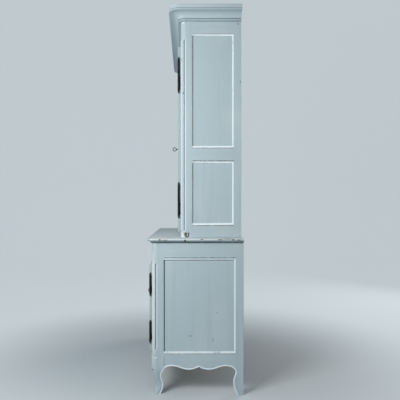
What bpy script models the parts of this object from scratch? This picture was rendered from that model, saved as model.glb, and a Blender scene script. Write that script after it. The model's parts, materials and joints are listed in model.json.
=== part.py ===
"""Two-part painted buffet: a low cupboard on cabriole feet that carries a tall, shallower one.

Units are metres and +Z is up. The front faces -Y and the origin lies on the floor, in the middle
of the footprint. Pieces of the right-hand side are modelled at +X and mirrored for the left.
"""
from math import cos, pi, radians, sin

import bmesh
import bpy
from mathutils import Matrix

# Fits
FIT = 0.0003                # gap between pieces that touch
CUT_PAST = 0.002            # how far a cutter runs past the face it opens

# Lower body
LOWER_WIDTH = 1.350         # outside of the side frames
LOWER_DEPTH = 0.556         # face of the posts to the back
LOWER_HEIGHT = 0.950        # floor to the face of the top board
TOP_FILLET = 0.003          # edge of the top board, from below: fillet,
TOP_HOLLOW_REACH = 0.014    # hollow,
TOP_HOLLOW_RISE = 0.009
TOP_NOSE = 0.019            # and height of the rounded nosing
TOP_SIDE_REACH = 0.025      # top board past the side frames
TOP_FRONT_REACH = 0.030     # top board past the posts
TOP_CORNER = 0.040          # plan radius of the front corners
LOWER_REAR_POST = 0.056     # width of the rear post, moulding included
LOWER_TOP_RAIL = 0.101      # side rail under the top board, moulding included
LOWER_SILL = 0.2635         # floor to the sight edge of the side panel

# Upper body
UPPER_SIDE_SET = 0.045      # upper sides in from the lower ones
UPPER_DEPTH = 0.372
UPPER_HEIGHT = 1.330        # top board of the lower body to the underside of the cornice
UPPER_BACK_SET = 0.010      # upper back in front of the lower back
UPPER_REAR_POST = 0.0535
UPPER_TOP_RAIL = 0.0865     # side rails of the upper body, mouldings included
UPPER_MID_RAIL = 0.105
UPPER_LOW_RAIL = 0.090
SHORT_PANEL = 0.370         # height of the short side panel in sight

# Cornice
CORNICE_SOFFIT = 0.009      # level underside before the mouldings, which from below are: bead,
CORNICE_BEAD = 0.009
CORNICE_QUIRK = 0.004       # height of the quirk above it,
CORNICE_QUIRK_REACH = 0.011
CORNICE_LIP = 0.017         # foot of the hollow past the rails,
CORNICE_HOLLOW_REACH = 0.041
CORNICE_HOLLOW_RISE = 0.032
CORNICE_FILLET = 0.005      # level fillet under the round,
CORNICE_ROUND = 0.010       # height of the round,
CORNICE_STEP = 0.003        # how far it stands out past the fascia,
CORNICE_GROOVE = 0.002      # groove between the two
CORNICE_GROOVE_DEEP = 0.004
CORNICE_FASCIA = 0.023      # and height of the fascia
CORNICE_SEAT = 0.026        # width of the frame that rests on the rails
CORNICE_CORNER = 0.060      # plan radius of the outermost edge

# Framing
POST_SIDE = 0.0742          # front post, seen from the side
POST_FRONT = 0.070          # front post, seen from the front
POST_ROUND = 0.034          # radius of the post's outer corner
POST_EASE = 0.0015          # softening of its other corners
WALL = 0.034                # thickness of the side frames
FRONT_RAIL = 0.028          # thickness of the front rails
BOARD = 0.018               # floors, shelves and top board
BACK_THICK = 0.012
BACK_INSET = 0.003          # back boards in front of the rear face of the posts
BACK_PLANKS = 6
PLANK_GROOVE = 0.003

# Stopped flutes on the rounded posts
FLUTE_RADIUS = 0.009
FLUTE_DEEP = 0.006
FLUTE_ANGLES = (15.0, 75.0) # degrees round the corner, from the side to the front
FLUTE_SIDES = 20
LOWER_FLUTE_LOW = 0.276     # lower end above the floor
LOWER_FLUTE_HIGH = 0.120    # upper end below the top board
UPPER_FLUTE_LOW = 0.045     # lower end above the top board
UPPER_FLUTE_HIGH = 0.108    # upper end below the cornice

# Panels and the moulding worked on the frames round them
MOULD_WIDE = 0.009
MOULD_QUIRK = 0.001
MOULD_DEEP = 0.006
MOULD_STEPS = 3
PANEL_SINK = 0.008          # frame face to panel face
PANEL_THICK = 0.010
GROOVE_DEEP = 0.009
PANEL_PLAY = 0.001          # room for the panel to swell in its groove
FIELD_MARGIN = 0.004        # door panels: sight edge to the foot of the bevel
FIELD_BEVEL = 0.024
FIELD_RISE = 0.006

# Shaped lower edges of the aprons: share of the way from cusp to foot, share of the wave
FOOT_HEIGHT = 0.172         # where the feet pass into the aprons
SCALLOP_WAVE = 0.011        # height of the wave above and below that
SCALLOP = ((0.00, 0.64), (0.14, -0.55), (0.30, -1.00), (0.46, -0.45),
           (0.62, 0.55), (0.78, 1.00), (0.92, 0.64), (1.00, 0.00))
CURVE_STEPS = 2

# Cabriole front foot: share of its height, then set-back of the outer face and distance to the
# inner face as shares of the post
FRONT_FOOT = ((0.000, 0.148, 0.606), (0.163, 0.229, 0.796), (0.349, 0.249, 0.848),
              (0.512, 0.176, 0.755), (0.640, 0.094, 0.687), (0.762, 0.020, 0.728),
              (0.872, -0.041, 0.848), (0.942, -0.054, 0.950), (1.000, -0.054, 1.000))
KNEE_FROM = 0.762           # share of the height where the knee begins
FOOT_EASE = 0.010
FOOT_ROUND_SHARE = 0.60     # outer corner radius as a share of the foot's width
KNEE_TOP = 0.230            # ledge where the knee stands proud of the post
KNEE_SLOPE = 0.005          # height over which the ledge falls back to the post

# Rear foot: distance from the back as a share of its width, share of its height
REAR_FOOT_WIDE = 0.061      # where the shaped edge ends, from the back
REAR_FOOT = ((0.79, 0.930), (0.66, 0.831), (0.74, 0.698), (0.885, 0.535),
             (0.87, 0.360), (0.705, 0.163), (0.49, 0.000))

# Doors
LIP_THICK = 0.018           # lip that stands in front of the posts
LIP_LAP = 0.012             # how far the lip covers the frame
LIP_EASE = 0.004
TONGUE = 0.010              # part of the door inside its opening
TONGUE_PLAY = 0.0015
MEETING_GAP = 0.002
MEETING_STEP = 0.0006       # tongue behind the lip where the doors meet
STILE = 0.085               # frame member, moulding included
DOOR_RAIL = 0.092
LOWER_DOOR_SILL = 0.247     # floor to the lower doors
LOWER_FRIEZE = 0.132        # top of the lower doors below the top board
UPPER_DOOR_SILL = 0.033     # upper doors above the top board
UPPER_FRIEZE = 0.137        # upper doors below the cornice, at the hinge side
UPPER_DOOR_RISE = 0.075     # arch of the pair of doors
ARCH_FLAT = 0.060           # level stretch at each end of the arch
LOWER_PANEL_RISE = 0.030    # hump in the top of the lower door panels
ARCH_STEPS = 12

# Barrel hinges
HINGE_RADIUS = 0.006
PIN_RADIUS = 0.003
HINGE_OUT = 0.007           # axis outside the edge of the door
HINGE_FORWARD = 0.014       # axis in front of the posts
HINGE_SIDES = 10
FINIAL = 0.014
FINIAL_BALL = 0.0045
FINIAL_NECK = 0.0028
FINIAL_TURNING = ((0.0, 0.0), (0.75, 0.12), (1.0, 0.42), (0.75, 0.70))  # shares of ball and height
FINIAL_NECK_AT = 0.85       # neck as a share of the height
LEAF_THICK = 0.002
LEAF_DEEP = 0.016           # length of leaf let into the wood
LEAF_INSET = 0.012          # leaf shorter than its barrel at each end
LOWER_HINGE = 0.145         # length over the finials
UPPER_HINGE = 0.225
LOWER_HINGE_LOW = 0.124     # hinge centres from the lower
LOWER_HINGE_HIGH = 0.124    # and the upper end of the door
UPPER_HINGE_LOW = 0.198
UPPER_HINGE_HIGH = 0.180

# Locks, let into the right doors
LOCK_WIDE = 0.058
LOCK_HIGH = 0.090
LOCK_DEEP = 0.014
LOCK_BOLT_LONG = 0.044
LOCK_BOLT_THICK = 0.006
LOCK_BOLT_HIGH = 0.012
BOLT_THROW = 0.012
BOLT_ABOVE_KEY = 0.0125
BOLT_BACK = 0.004           # from the inner face of the door
KEY_IN = 0.030              # key axis from the meeting edge
KEY_RADIUS = 0.003
KEY_PLAY = 0.0006
LOWER_KEY_REACH = 0.056     # bow past the face of the door
UPPER_KEY_REACH = 0.049
LOWER_LOCK_RISE = 0.007     # lower lock above the middle of its door
KEY_COLLAR = 0.0045
COLLAR_AT = 0.003           # collar in front of the door
COLLAR_LONG = 0.005
BOW_RADIUS = 0.0122
BOW_WIRE = 0.0024
SHANK_INTO_BOW = 0.0017     # shank past the foot of the bow
BIT_REACH = 0.0092
BIT_DEEP = 0.005
BIT_THICK = 0.0024
CHAMBER = 0.0110            # radius of the room the key bit turns in

# Slide bolts that hold the left doors
SLIDE_IN = 0.025            # from the meeting edge
SLIDE_WIDE = 0.010
SLIDE_DEEP = 0.006
SLIDE_LONG = 0.120
SLIDE_TRAVEL = 0.020
SLIDE_TAB = 0.008
SLIDE_TAB_HIGH = 0.014
SLIDE_PLAY = 0.0008

# Shelves
SHELF_SET = 0.056           # shelf edge behind the face of the posts
HOUSING = 0.006             # depth of the notches in the posts that carry a shelf

# Places worked out from the sizes above
TOTAL_DEPTH = LOWER_KEY_REACH + LIP_THICK + LOWER_DEPTH
BACK_Y = TOTAL_DEPTH / 2
LOWER_FRONT_Y = BACK_Y - LOWER_DEPTH
UPPER_BACK_Y = BACK_Y - UPPER_BACK_SET
UPPER_FRONT_Y = UPPER_BACK_Y - UPPER_DEPTH
LOWER_HALF = LOWER_WIDTH / 2
UPPER_HALF = LOWER_HALF - UPPER_SIDE_SET
TOP_UNDERSIDE = LOWER_HEIGHT - TOP_FILLET - TOP_HOLLOW_RISE - TOP_NOSE
LOWER_CEILING = TOP_UNDERSIDE - FIT
LOWER_SIGHT = (LOWER_SILL, TOP_UNDERSIDE - LOWER_TOP_RAIL)
LOWER_DOOR = (LOWER_DOOR_SILL, TOP_UNDERSIDE - LOWER_FRIEZE)
UPPER_FOOT = LOWER_HEIGHT + FIT
UPPER_TOP = LOWER_HEIGHT + UPPER_HEIGHT
SHORT_SIGHT = (LOWER_HEIGHT + UPPER_LOW_RAIL, LOWER_HEIGHT + UPPER_LOW_RAIL + SHORT_PANEL)
TALL_SIGHT = (SHORT_SIGHT[1] + UPPER_MID_RAIL, UPPER_TOP - UPPER_TOP_RAIL)
UPPER_DOOR = (LOWER_HEIGHT + UPPER_DOOR_SILL, UPPER_TOP - UPPER_FRIEZE)
BORE_RADIUS = PIN_RADIUS + FIT

SIDES = {"R": 1, "L": -1}


def finish(name, colour, roughness, metallic=0.0):
    """A Principled material of one colour."""
    material = bpy.data.materials.new(name)
    material.use_nodes = True
    shader = material.node_tree.nodes["Principled BSDF"]
    shader.inputs["Base Color"].default_value = (*colour, 1.0)
    shader.inputs["Roughness"].default_value = roughness
    shader.inputs["Metallic"].default_value = metallic
    material.diffuse_color = (*colour, 1.0)
    return material


def place(u, v, along, axis):
    """A point of a flat outline, raised along the named axis."""
    spots = {"x": (along, u, v), "y": (u, along, v), "z": (u, v, along)}
    return spots[axis]


def prism(outline, axis, low, high):
    """A flat outline extruded from low to high."""
    bm = bmesh.new()
    face = bm.faces.new([bm.verts.new(place(u, v, low, axis)) for u, v in outline])
    grown = bmesh.ops.extrude_face_region(bm, geom=[face])["geom"]
    tips = [item for item in grown if isinstance(item, bmesh.types.BMVert)]
    bmesh.ops.translate(bm, verts=tips, vec=place(0.0, 0.0, high - low, axis))
    return bm


def block(low, high):
    """A rectangular block between two corners."""
    bm = bmesh.new()
    made = bmesh.ops.create_cube(bm, size=1.0)["verts"]
    size = [b - a for a, b in zip(low, high)]
    middle = [(a + b) / 2 for a, b in zip(low, high)]
    bmesh.ops.scale(bm, verts=made, vec=size)
    bmesh.ops.translate(bm, verts=made, vec=middle)
    return bm


def loft(rings, closed=False):
    """Rings of equally many points joined in order, capped unless the last meets the first."""
    bm = bmesh.new()
    loops = [[bm.verts.new(point) for point in ring] for ring in rings]
    pairs = list(zip(loops, loops[1:]))
    if closed:
        pairs.append((loops[-1], loops[0]))
    else:
        bm.faces.new(loops[0])
        bm.faces.new(loops[-1])
    for lower, upper in pairs:
        for i in range(len(lower)):
            bm.faces.new((lower[i - 1], lower[i], upper[i], upper[i - 1]))
    return bm


def lathe(profile, steps):
    """A profile of (radius, height) turned about Z. Both ends lie on the axis."""
    bm = bmesh.new()
    verts = [bm.verts.new((radius, 0.0, height)) for radius, height in profile]
    edges = [bm.edges.new(pair) for pair in zip(verts, verts[1:])]
    bmesh.ops.spin(bm, geom=verts + edges, cent=(0, 0, 0), axis=(0, 0, 1),
                   angle=2 * pi, steps=steps, use_merge=True)
    bmesh.ops.remove_doubles(bm, verts=bm.verts, dist=0.00001)
    return bm


def shift(bm, vec):
    bmesh.ops.translate(bm, verts=bm.verts, vec=vec)
    return bm


def add(name, bm, material=None, side=1, parent=None, smooth=False):
    """Turn a mesh into an object, mirrored for the left side."""
    bmesh.ops.scale(bm, verts=bm.verts, vec=(side, 1, 1))
    bmesh.ops.recalc_face_normals(bm, faces=bm.faces)
    mesh = bpy.data.meshes.new(name)
    bm.to_mesh(mesh)
    bm.free()
    if smooth:
        mesh.shade_smooth()
        mesh.set_sharp_from_angle(angle=radians(35))
    if material:
        mesh.materials.append(material)
    piece = bpy.data.objects.new(name, mesh)
    bpy.context.scene.collection.objects.link(piece)
    if parent:
        hang(piece, parent, parent.location)
    return piece


def helper(name, bm, side=1):
    """A shape that only cuts or joins others."""
    shape = add(name, bm, side=side)
    shape.hide_render = True
    shape.display_type = "WIRE"
    return shape


def combine(piece, shape, operation, solver="EXACT"):
    modifier = piece.modifiers.new(shape.name, "BOOLEAN")
    modifier.operation = operation
    modifier.solver = solver
    modifier.object = shape


def carve(piece, *cutters):
    for cutter in cutters:
        combine(piece, cutter, "DIFFERENCE")


def carve_mouldings(piece, *openings):
    """Cut panel openings. Their mitres cross the joint of post and rail in slivers, which the exact
    solver can tear."""
    for opening in openings:
        combine(piece, opening, "DIFFERENCE", "MANIFOLD")


def hang(piece, parent, at):
    """Parent an object to an empty that stands at a place, and leave the object where it is."""
    piece.parent = parent
    piece.matrix_parent_inverse = Matrix.Translation(at).inverted()


def pivot(name, location, parent=None):
    """An empty that marks the axis of a moving piece."""
    empty = bpy.data.objects.new(name, None)
    empty.location = location
    bpy.context.scene.collection.objects.link(empty)
    if parent:
        hang(empty, parent, parent.location)
    return empty


def smooth_curve(points, steps):
    """Points on a Catmull-Rom curve through the given ones."""
    ends = [points[0], *points, points[-1]]
    curve = []
    for p0, p1, p2, p3 in zip(ends, ends[1:], ends[2:], ends[3:]):
        for step in range(steps):
            t = step / steps
            curve.append(tuple(
                b + t * (c - a) / 2 + t * t * (2 * a - 5 * b + 4 * c - d) / 2
                + t * t * t * (3 * b - 3 * c + d - a) / 2
                for a, b, c, d in zip(p0, p1, p2, p3)))
    curve.append(tuple(points[-1]))
    return curve


def arc(centre, radius, start, end, steps):
    """Points on an arc, angles in degrees."""
    angles = [radians(start + (end - start) * i / steps) for i in range(steps + 1)]
    return [(centre[0] + radius * cos(a), centre[1] + radius * sin(a)) for a in angles]


def grow(outline, distance):
    """A counter-clockwise outline moved outwards, with mitred corners."""
    def normal(a, b):
        dx, dy = b[0] - a[0], b[1] - a[1]
        length = (dx * dx + dy * dy) ** 0.5
        return dy / length, -dx / length

    moved = []
    for before, here, after in zip(outline[-1:] + outline[:-1], outline, outline[1:] + outline[:1]):
        a, b = normal(before, here), normal(here, after)
        reach = distance / (1 + a[0] * b[0] + a[1] * b[1])
        moved.append((here[0] + (a[0] + b[0]) * reach, here[1] + (a[1] + b[1]) * reach))
    return moved


def rectangle(u0, v0, u1, v1):
    return [(u0, v0), (u1, v0), (u1, v1), (u0, v1)]


def rounded_front(half, front, back, radius, steps=6):
    """Plan of a board with square rear corners and rounded front ones."""
    right = arc((half - radius, front + radius), radius, -90, 0, steps)
    left = arc((radius - half, front + radius), radius, 180, 270, steps)
    return [(half, back), (-half, back), *left, *right]


def level(outline, z):
    return [(x, y, z) for x, y in outline]


def half_round(reach, rise, size):
    """Section of a round moulding that stands out by its own height, as (reach, rise) points."""
    middle = size / 2
    return [(reach + middle + u, rise + middle + v) for u, v in arc((0, 0), middle, -90, 90, 4)]


def hollow(reach, rise, wide, high):
    """Section of a hollow moulding that starts upright and ends level."""
    turns = [pi / 2 * step / 4 for step in range(5)]
    return [(reach + wide * (1 - cos(turn)), rise + high * sin(turn)) for turn in turns]


def opening_profile(through):
    """Section of a panel opening, as (growth past the sight edge, depth below the face)."""
    profile = [(MOULD_WIDE, -CUT_PAST)]
    for step in range(MOULD_STEPS + 1):
        turn = pi / 2 * step / MOULD_STEPS
        deep = MOULD_QUIRK + (MOULD_DEEP - MOULD_QUIRK) * (1 - cos(turn))
        profile.append((MOULD_WIDE * (1 - sin(turn)), deep))
    groove = (PANEL_SINK - FIT, PANEL_SINK + PANEL_THICK + FIT)
    profile += [(0.0, groove[0]), (GROOVE_DEEP, groove[0]), (GROOVE_DEEP, groove[1]),
                (0.0, groove[1]), (0.0, through + CUT_PAST)]
    return profile


def panel_opening(name, outline, axis, face, inward, through, side):
    """Cutter for a moulded and grooved opening. Inward is the sense of depth along the axis."""
    rings = []
    for growth, deep in opening_profile(through):
        ring = grow(outline, growth)
        rings.append([place(u, v, face + inward * deep, axis) for u, v in ring])
    return helper(name, loft(rings), side)


def board_panel(outline, axis, face, inward, fielded):
    """A panel whose edges lie in the groove of its opening, with a raised field on doors."""
    edge = GROOVE_DEEP - PANEL_PLAY
    section = [(edge, PANEL_SINK + PANEL_THICK), (edge, PANEL_SINK)]
    if fielded:
        section += [(-FIELD_MARGIN, PANEL_SINK),
                    (-FIELD_MARGIN - FIELD_BEVEL, PANEL_SINK - FIELD_RISE)]
    return loft([[place(u, v, face + inward * deep, axis) for u, v in grow(outline, growth)]
                 for growth, deep in section])


def plank_back(name, half, back, low, high, material):
    """A back of upright planks, with a groove at each joint on the outer face."""
    outer = back - BACK_INSET
    inner = outer - BACK_THICK
    outline = [(-half, inner), (half, inner), (half, outer)]
    for joint in range(BACK_PLANKS - 1, 0, -1):
        x = -half + 2 * half * joint / BACK_PLANKS
        outline += [(x + PLANK_GROOVE, outer), (x, outer - PLANK_GROOVE), (x - PLANK_GROOVE, outer)]
    outline.append((-half, outer))
    return add(name, prism(outline, "z", low, high), material)


def back_face(back):
    """Front surface of the plank back."""
    return back - BACK_INSET - BACK_THICK


def notched_board(name, steps, low, material):
    """A horizontal board whose ends step round the posts. Steps are (half width, y) pairs."""
    right = list(steps)
    left = [(-x, y) for x, y in reversed(right)]
    return add(name, prism(right + left, "z", low, low + BOARD), material)


def closing_board(name, half, front, back, low, material):
    """Floor or top board, close to the rails, posts and side frames round it."""
    at_post = half - POST_FRONT - FIT
    behind_post = front + POST_SIDE + FIT
    at_wall = half - WALL - FIT
    return notched_board(name, [
        (at_post, front + FRONT_RAIL + FIT), (at_post, behind_post),
        (at_wall, behind_post), (at_wall, back_face(back) - FIT)], low, material)


def shelf(name, half, front, back, rear_post, low, carriers, material):
    """A shelf housed in notches of the four posts. Carriers are (front post, side frame) pairs."""
    start = front + SHELF_SET
    in_post = half - POST_FRONT + HOUSING
    in_frame = half - WALL + HOUSING
    between = half - WALL - FIT
    behind_post = front + POST_SIDE + FIT
    at_rear = back - rear_post - FIT
    end = back_face(back) - FIT
    for label, (post, frame) in carriers.items():
        side = SIDES[label]
        floor, ceiling = low - FIT, low + BOARD + FIT
        notch = helper(name + "_front_notch_" + label, block(
            (half - POST_FRONT - CUT_PAST, start - FIT, floor),
            (in_post, front + POST_SIDE + CUT_PAST, ceiling)), side)
        carve(post, notch)
        notch = helper(name + "_rear_notch_" + label, block(
            (half - WALL - CUT_PAST, at_rear - CUT_PAST, floor),
            (in_frame, end + CUT_PAST, ceiling)), side)
        carve(frame, notch)
    return notched_board(name, [
        (in_post - FIT, start), (in_post - FIT, behind_post), (between, behind_post),
        (between, at_rear), (in_frame - FIT, at_rear), (in_frame - FIT, end)], low, material)


def corner_section(x_in, y_in, x_out, y_out, round_radius, ease, z):
    """Plan of a front post: the outer corner is rounded, the other three are eased."""
    outline = [
        *arc((x_in + ease, y_in - ease), ease, 90, 180, 2),
        *arc((x_in + ease, y_out + ease), ease, 180, 270, 2),
        *arc((x_out - round_radius, y_out + round_radius), round_radius, 270, 360, 6),
        *arc((x_out - ease, y_in - ease), ease, 0, 90, 2)]
    return level(outline, z)


def post_section(half, front, z):
    return corner_section(half - POST_FRONT, front + POST_SIDE, half, front,
                          POST_ROUND, POST_EASE, z)


def foot_sections(half, front):
    """Sections of the cabriole foot, from the floor to the ledge at the top of the knee."""
    levels = [(share * FOOT_HEIGHT, set_back * POST_SIDE, inner * POST_SIDE)
              for share, set_back, inner in smooth_curve(FRONT_FOOT, CURVE_STEPS)]
    levels.append((KNEE_TOP, *levels[-1][1:]))
    sections = []
    for z, set_back, inner in levels:
        fade = min(max((z / FOOT_HEIGHT - KNEE_FROM) / (1 - KNEE_FROM), 0.0), 1.0)
        ease = FOOT_EASE + (POST_EASE - FOOT_EASE) * fade
        corner = min(POST_ROUND, FOOT_ROUND_SHARE * (inner - set_back))
        sections.append(corner_section(
            half - min(inner, POST_FRONT), front + min(inner, POST_SIDE),
            half - set_back, front + set_back, corner, ease, z))
    return sections


def flutes(name, half, front, span, side):
    """Cutters for the stopped flutes on the rounded corner of a post, round at both ends."""
    low, high = span
    end = [(FLUTE_RADIUS * sin(turn), FLUTE_RADIUS * (1 - cos(turn)))
           for turn in (0, pi / 6, pi / 3, pi / 2)]
    profile = ([(radius, low + rise) for radius, rise in end]
               + [(radius, high - rise) for radius, rise in reversed(end)])
    reach = POST_ROUND - FLUTE_DEEP + FLUTE_RADIUS
    cutters = []
    for number, angle in enumerate(FLUTE_ANGLES, 1):
        x = half - POST_ROUND + reach * cos(radians(angle))
        y = front + POST_ROUND - reach * sin(radians(angle))
        cutters.append(helper("%s_%d" % (name, number),
                              shift(lathe(profile, FLUTE_SIDES), (x, y, 0.0)), side))
    return cutters


def scallop(cusp, foot):
    """Shaped edge from a cusp to a foot, as (place, height) points."""
    points = [(cusp + share * (foot - cusp), FOOT_HEIGHT + wave * SCALLOP_WAVE)
              for share, wave in SCALLOP]
    return smooth_curve(points, CURVE_STEPS)


def lower_body(paint, wood):
    """Posts, frames, panels, rails and boards of the low cupboard."""
    post_back = LOWER_FRONT_Y + POST_SIDE + FIT
    rear_sight = BACK_Y - LOWER_REAR_POST
    sight = rectangle(post_back - FIT / 2, LOWER_SIGHT[0], rear_sight, LOWER_SIGHT[1])
    foot_edge = BACK_Y - REAR_FOOT_WIDE
    cusp = (post_back + foot_edge) / 2
    rear_foot = [(BACK_Y - out * REAR_FOOT_WIDE, up * FOOT_HEIGHT) for out, up in REAR_FOOT]
    rear_edge = scallop(cusp, foot_edge)
    frame_outline = [
        (BACK_Y, 0.0), (BACK_Y, LOWER_CEILING), (post_back, LOWER_CEILING),
        *reversed(scallop(cusp, post_back)), *rear_edge[1:-1],
        *smooth_curve([rear_edge[-1], *rear_foot], CURVE_STEPS)]

    carriers = {}
    for label, side in SIDES.items():
        opening = panel_opening("lower_side_opening_" + label, sight, "x",
                                LOWER_HALF, -1, WALL, side)
        post = add("lower_front_post_" + label, loft(
            foot_sections(LOWER_HALF, LOWER_FRONT_Y)
            + [post_section(LOWER_HALF, LOWER_FRONT_Y, z)
               for z in (KNEE_TOP + KNEE_SLOPE, LOWER_CEILING)]), paint, side, smooth=True)
        fluted = (LOWER_FLUTE_LOW, TOP_UNDERSIDE - LOWER_FLUTE_HIGH)
        carve_mouldings(post, opening)
        carve(post, *flutes("lower_flute_" + label, LOWER_HALF, LOWER_FRONT_Y, fluted, side))
        frame = add("lower_side_frame_" + label,
                    prism(frame_outline, "x", LOWER_HALF - WALL, LOWER_HALF), paint, side)
        carve_mouldings(frame, opening)
        add("lower_side_panel_" + label,
            board_panel(sight, "x", LOWER_HALF, -1, fielded=False), paint, side)
        carriers[label] = (post, frame)

    half = LOWER_HALF - POST_FRONT - FIT
    rail_back = LOWER_FRONT_Y + FRONT_RAIL
    low, high = LOWER_DOOR[0] + LIP_LAP, LOWER_DOOR[1] - LIP_LAP
    frieze = add("lower_front_frieze", block(
        (-half, LOWER_FRONT_Y, high), (half, rail_back, LOWER_CEILING)), paint)
    edge = scallop(0.0, half)
    apron = [(half, low), (-half, low), *[(-x, z) for x, z in reversed(edge[1:])], *edge]
    add("lower_front_apron", prism(apron, "y", LOWER_FRONT_Y, rail_back), paint)

    inner = LOWER_HALF - WALL - FIT
    plank_back("lower_back", inner, BACK_Y, low - BOARD, LOWER_CEILING, wood)
    closing_board("lower_floor", LOWER_HALF, LOWER_FRONT_Y, BACK_Y, low - BOARD, wood)
    shelf("lower_shelf", LOWER_HALF, LOWER_FRONT_Y, BACK_Y, LOWER_REAR_POST,
          sum(LOWER_SIGHT) / 2, carriers, wood)
    return {"posts": {label: pair[0] for label, pair in carriers.items()}, "frieze": frieze}


def lower_top(paint):
    """Top board: a rounded nosing with a hollow moulding under it."""
    nose_rise = TOP_FILLET + TOP_HOLLOW_RISE
    section = [(0.0, 0.0), *hollow(0.0, TOP_FILLET, TOP_HOLLOW_REACH, TOP_HOLLOW_RISE),
               *half_round(TOP_HOLLOW_REACH - TOP_NOSE / 2, nose_rise, TOP_NOSE)[1:]]
    furthest = max(reach for reach, _ in section)
    rings = []
    for reach, rise in section:
        inset = furthest - reach
        outline = rounded_front(LOWER_HALF + TOP_SIDE_REACH - inset,
                                LOWER_FRONT_Y - TOP_FRONT_REACH + inset, BACK_Y,
                                TOP_CORNER - inset)
        rings.append(level(outline, TOP_UNDERSIDE + rise))
    add("lower_top", loft(rings), paint, smooth=True)


def cornice(paint):
    """Moulded frame: bead, hollow, round and fascia, rounded at the front corners."""
    hollow_rise = CORNICE_BEAD + CORNICE_QUIRK
    round_reach = CORNICE_LIP + CORNICE_HOLLOW_REACH + CORNICE_FILLET
    round_rise = hollow_rise + CORNICE_HOLLOW_RISE
    furthest = round_reach + CORNICE_ROUND
    groove_rise = round_rise + CORNICE_ROUND
    groove_reach = furthest - CORNICE_STEP - CORNICE_GROOVE_DEEP
    fascia_reach = furthest - CORNICE_STEP
    fascia_rise = groove_rise + CORNICE_GROOVE
    top = fascia_rise + CORNICE_FASCIA
    section = [(0.0, 0.0), *half_round(CORNICE_SOFFIT, 0.0, CORNICE_BEAD),
               (CORNICE_QUIRK_REACH, CORNICE_BEAD), (CORNICE_QUIRK_REACH, hollow_rise),
               *hollow(CORNICE_LIP, hollow_rise, CORNICE_HOLLOW_REACH, CORNICE_HOLLOW_RISE),
               *half_round(round_reach, round_rise, CORNICE_ROUND),
               (groove_reach, groove_rise), (groove_reach, fascia_rise),
               (fascia_reach, fascia_rise), (fascia_reach, top)]
    rings = []
    for reach, rise in section:
        corner = POST_ROUND + (CORNICE_CORNER - POST_ROUND) * reach / furthest
        outline = rounded_front(UPPER_HALF + reach, UPPER_FRONT_Y - reach, UPPER_BACK_Y, corner)
        rings.append(level(outline, UPPER_TOP + rise))
    seat = rounded_front(UPPER_HALF - CORNICE_SEAT, UPPER_FRONT_Y + CORNICE_SEAT,
                         UPPER_BACK_Y - CORNICE_SEAT, POST_ROUND - CORNICE_SEAT)
    rings += [level(seat, UPPER_TOP + top), level(seat, UPPER_TOP)]
    add("cornice", loft(rings, closed=True), paint, smooth=True)


def arch_height(x):
    """Rise of the upper doors above their shoulder, at a distance from the middle."""
    outer = UPPER_HALF - POST_FRONT + LIP_LAP
    run = outer - 2 * ARCH_FLAT
    share = min(max((outer - ARCH_FLAT - abs(x)) / run, 0.0), 1.0)
    return UPPER_DOOR_RISE * (1 - cos(pi * share)) / 2


def upper_body(paint, wood):
    """Posts, frames, panels, rails and boards of the tall cupboard."""
    post_back = UPPER_FRONT_Y + POST_SIDE + FIT
    rear_sight = UPPER_BACK_Y - UPPER_REAR_POST
    ceiling = UPPER_TOP - FIT
    sights = {name: rectangle(post_back - FIT / 2, low, rear_sight, high)
              for name, (low, high) in (("tall", TALL_SIGHT), ("short", SHORT_SIGHT))}

    carriers = {}
    for label, side in SIDES.items():
        openings = [panel_opening("upper_%s_opening_%s" % (name, label), sight, "x",
                                  UPPER_HALF, -1, WALL, side) for name, sight in sights.items()]
        post = add("upper_front_post_" + label, loft(
            [post_section(UPPER_HALF, UPPER_FRONT_Y, z) for z in (UPPER_FOOT, ceiling)]),
            paint, side, smooth=True)
        fluted = (LOWER_HEIGHT + UPPER_FLUTE_LOW, UPPER_TOP - UPPER_FLUTE_HIGH)
        carve_mouldings(post, *openings)
        carve(post, *flutes("upper_flute_" + label, UPPER_HALF, UPPER_FRONT_Y, fluted, side))
        frame = add("upper_side_frame_" + label, block(
            (UPPER_HALF - WALL, post_back, UPPER_FOOT), (UPPER_HALF, UPPER_BACK_Y, ceiling)),
            paint, side)
        carve_mouldings(frame, *openings)
        for name, sight in sights.items():
            add("upper_%s_panel_%s" % (name, label),
                board_panel(sight, "x", UPPER_HALF, -1, fielded=False), paint, side)
        carriers[label] = (post, frame)

    half = UPPER_HALF - POST_FRONT - FIT
    rail_back = UPPER_FRONT_Y + FRONT_RAIL
    low, shoulder = UPPER_DOOR[0] + LIP_LAP, UPPER_DOOR[1] - LIP_LAP
    add("upper_front_rail", block((-half, UPPER_FRONT_Y, UPPER_FOOT), (half, rail_back, low)), paint)
    steps = 2 * ARCH_STEPS
    places = [half * (2 * i / steps - 1) for i in range(steps + 1)]
    outline = [(half, ceiling), (-half, ceiling), *[(x, shoulder + arch_height(x)) for x in places]]
    frieze = add("upper_front_frieze", prism(outline, "y", UPPER_FRONT_Y, rail_back), paint)

    inner = UPPER_HALF - WALL - FIT
    plank_back("upper_back", inner, UPPER_BACK_Y, UPPER_FOOT, ceiling, wood)
    closing_board("upper_floor", UPPER_HALF, UPPER_FRONT_Y, UPPER_BACK_Y, low - BOARD, wood)
    closing_board("upper_ceiling", UPPER_HALF, UPPER_FRONT_Y, UPPER_BACK_Y, ceiling - BOARD, wood)
    at_mid_rail = (SHORT_SIGHT[1] + TALL_SIGHT[0] - BOARD) / 2
    for number, height in enumerate((at_mid_rail, sum(TALL_SIGHT) / 2), 1):
        shelf("upper_shelf_%d" % number, UPPER_HALF, UPPER_FRONT_Y, UPPER_BACK_Y, UPPER_REAR_POST,
              height, carriers, wood)
    return {"posts": {label: pair[0] for label, pair in carriers.items()}, "frieze": frieze}


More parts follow.
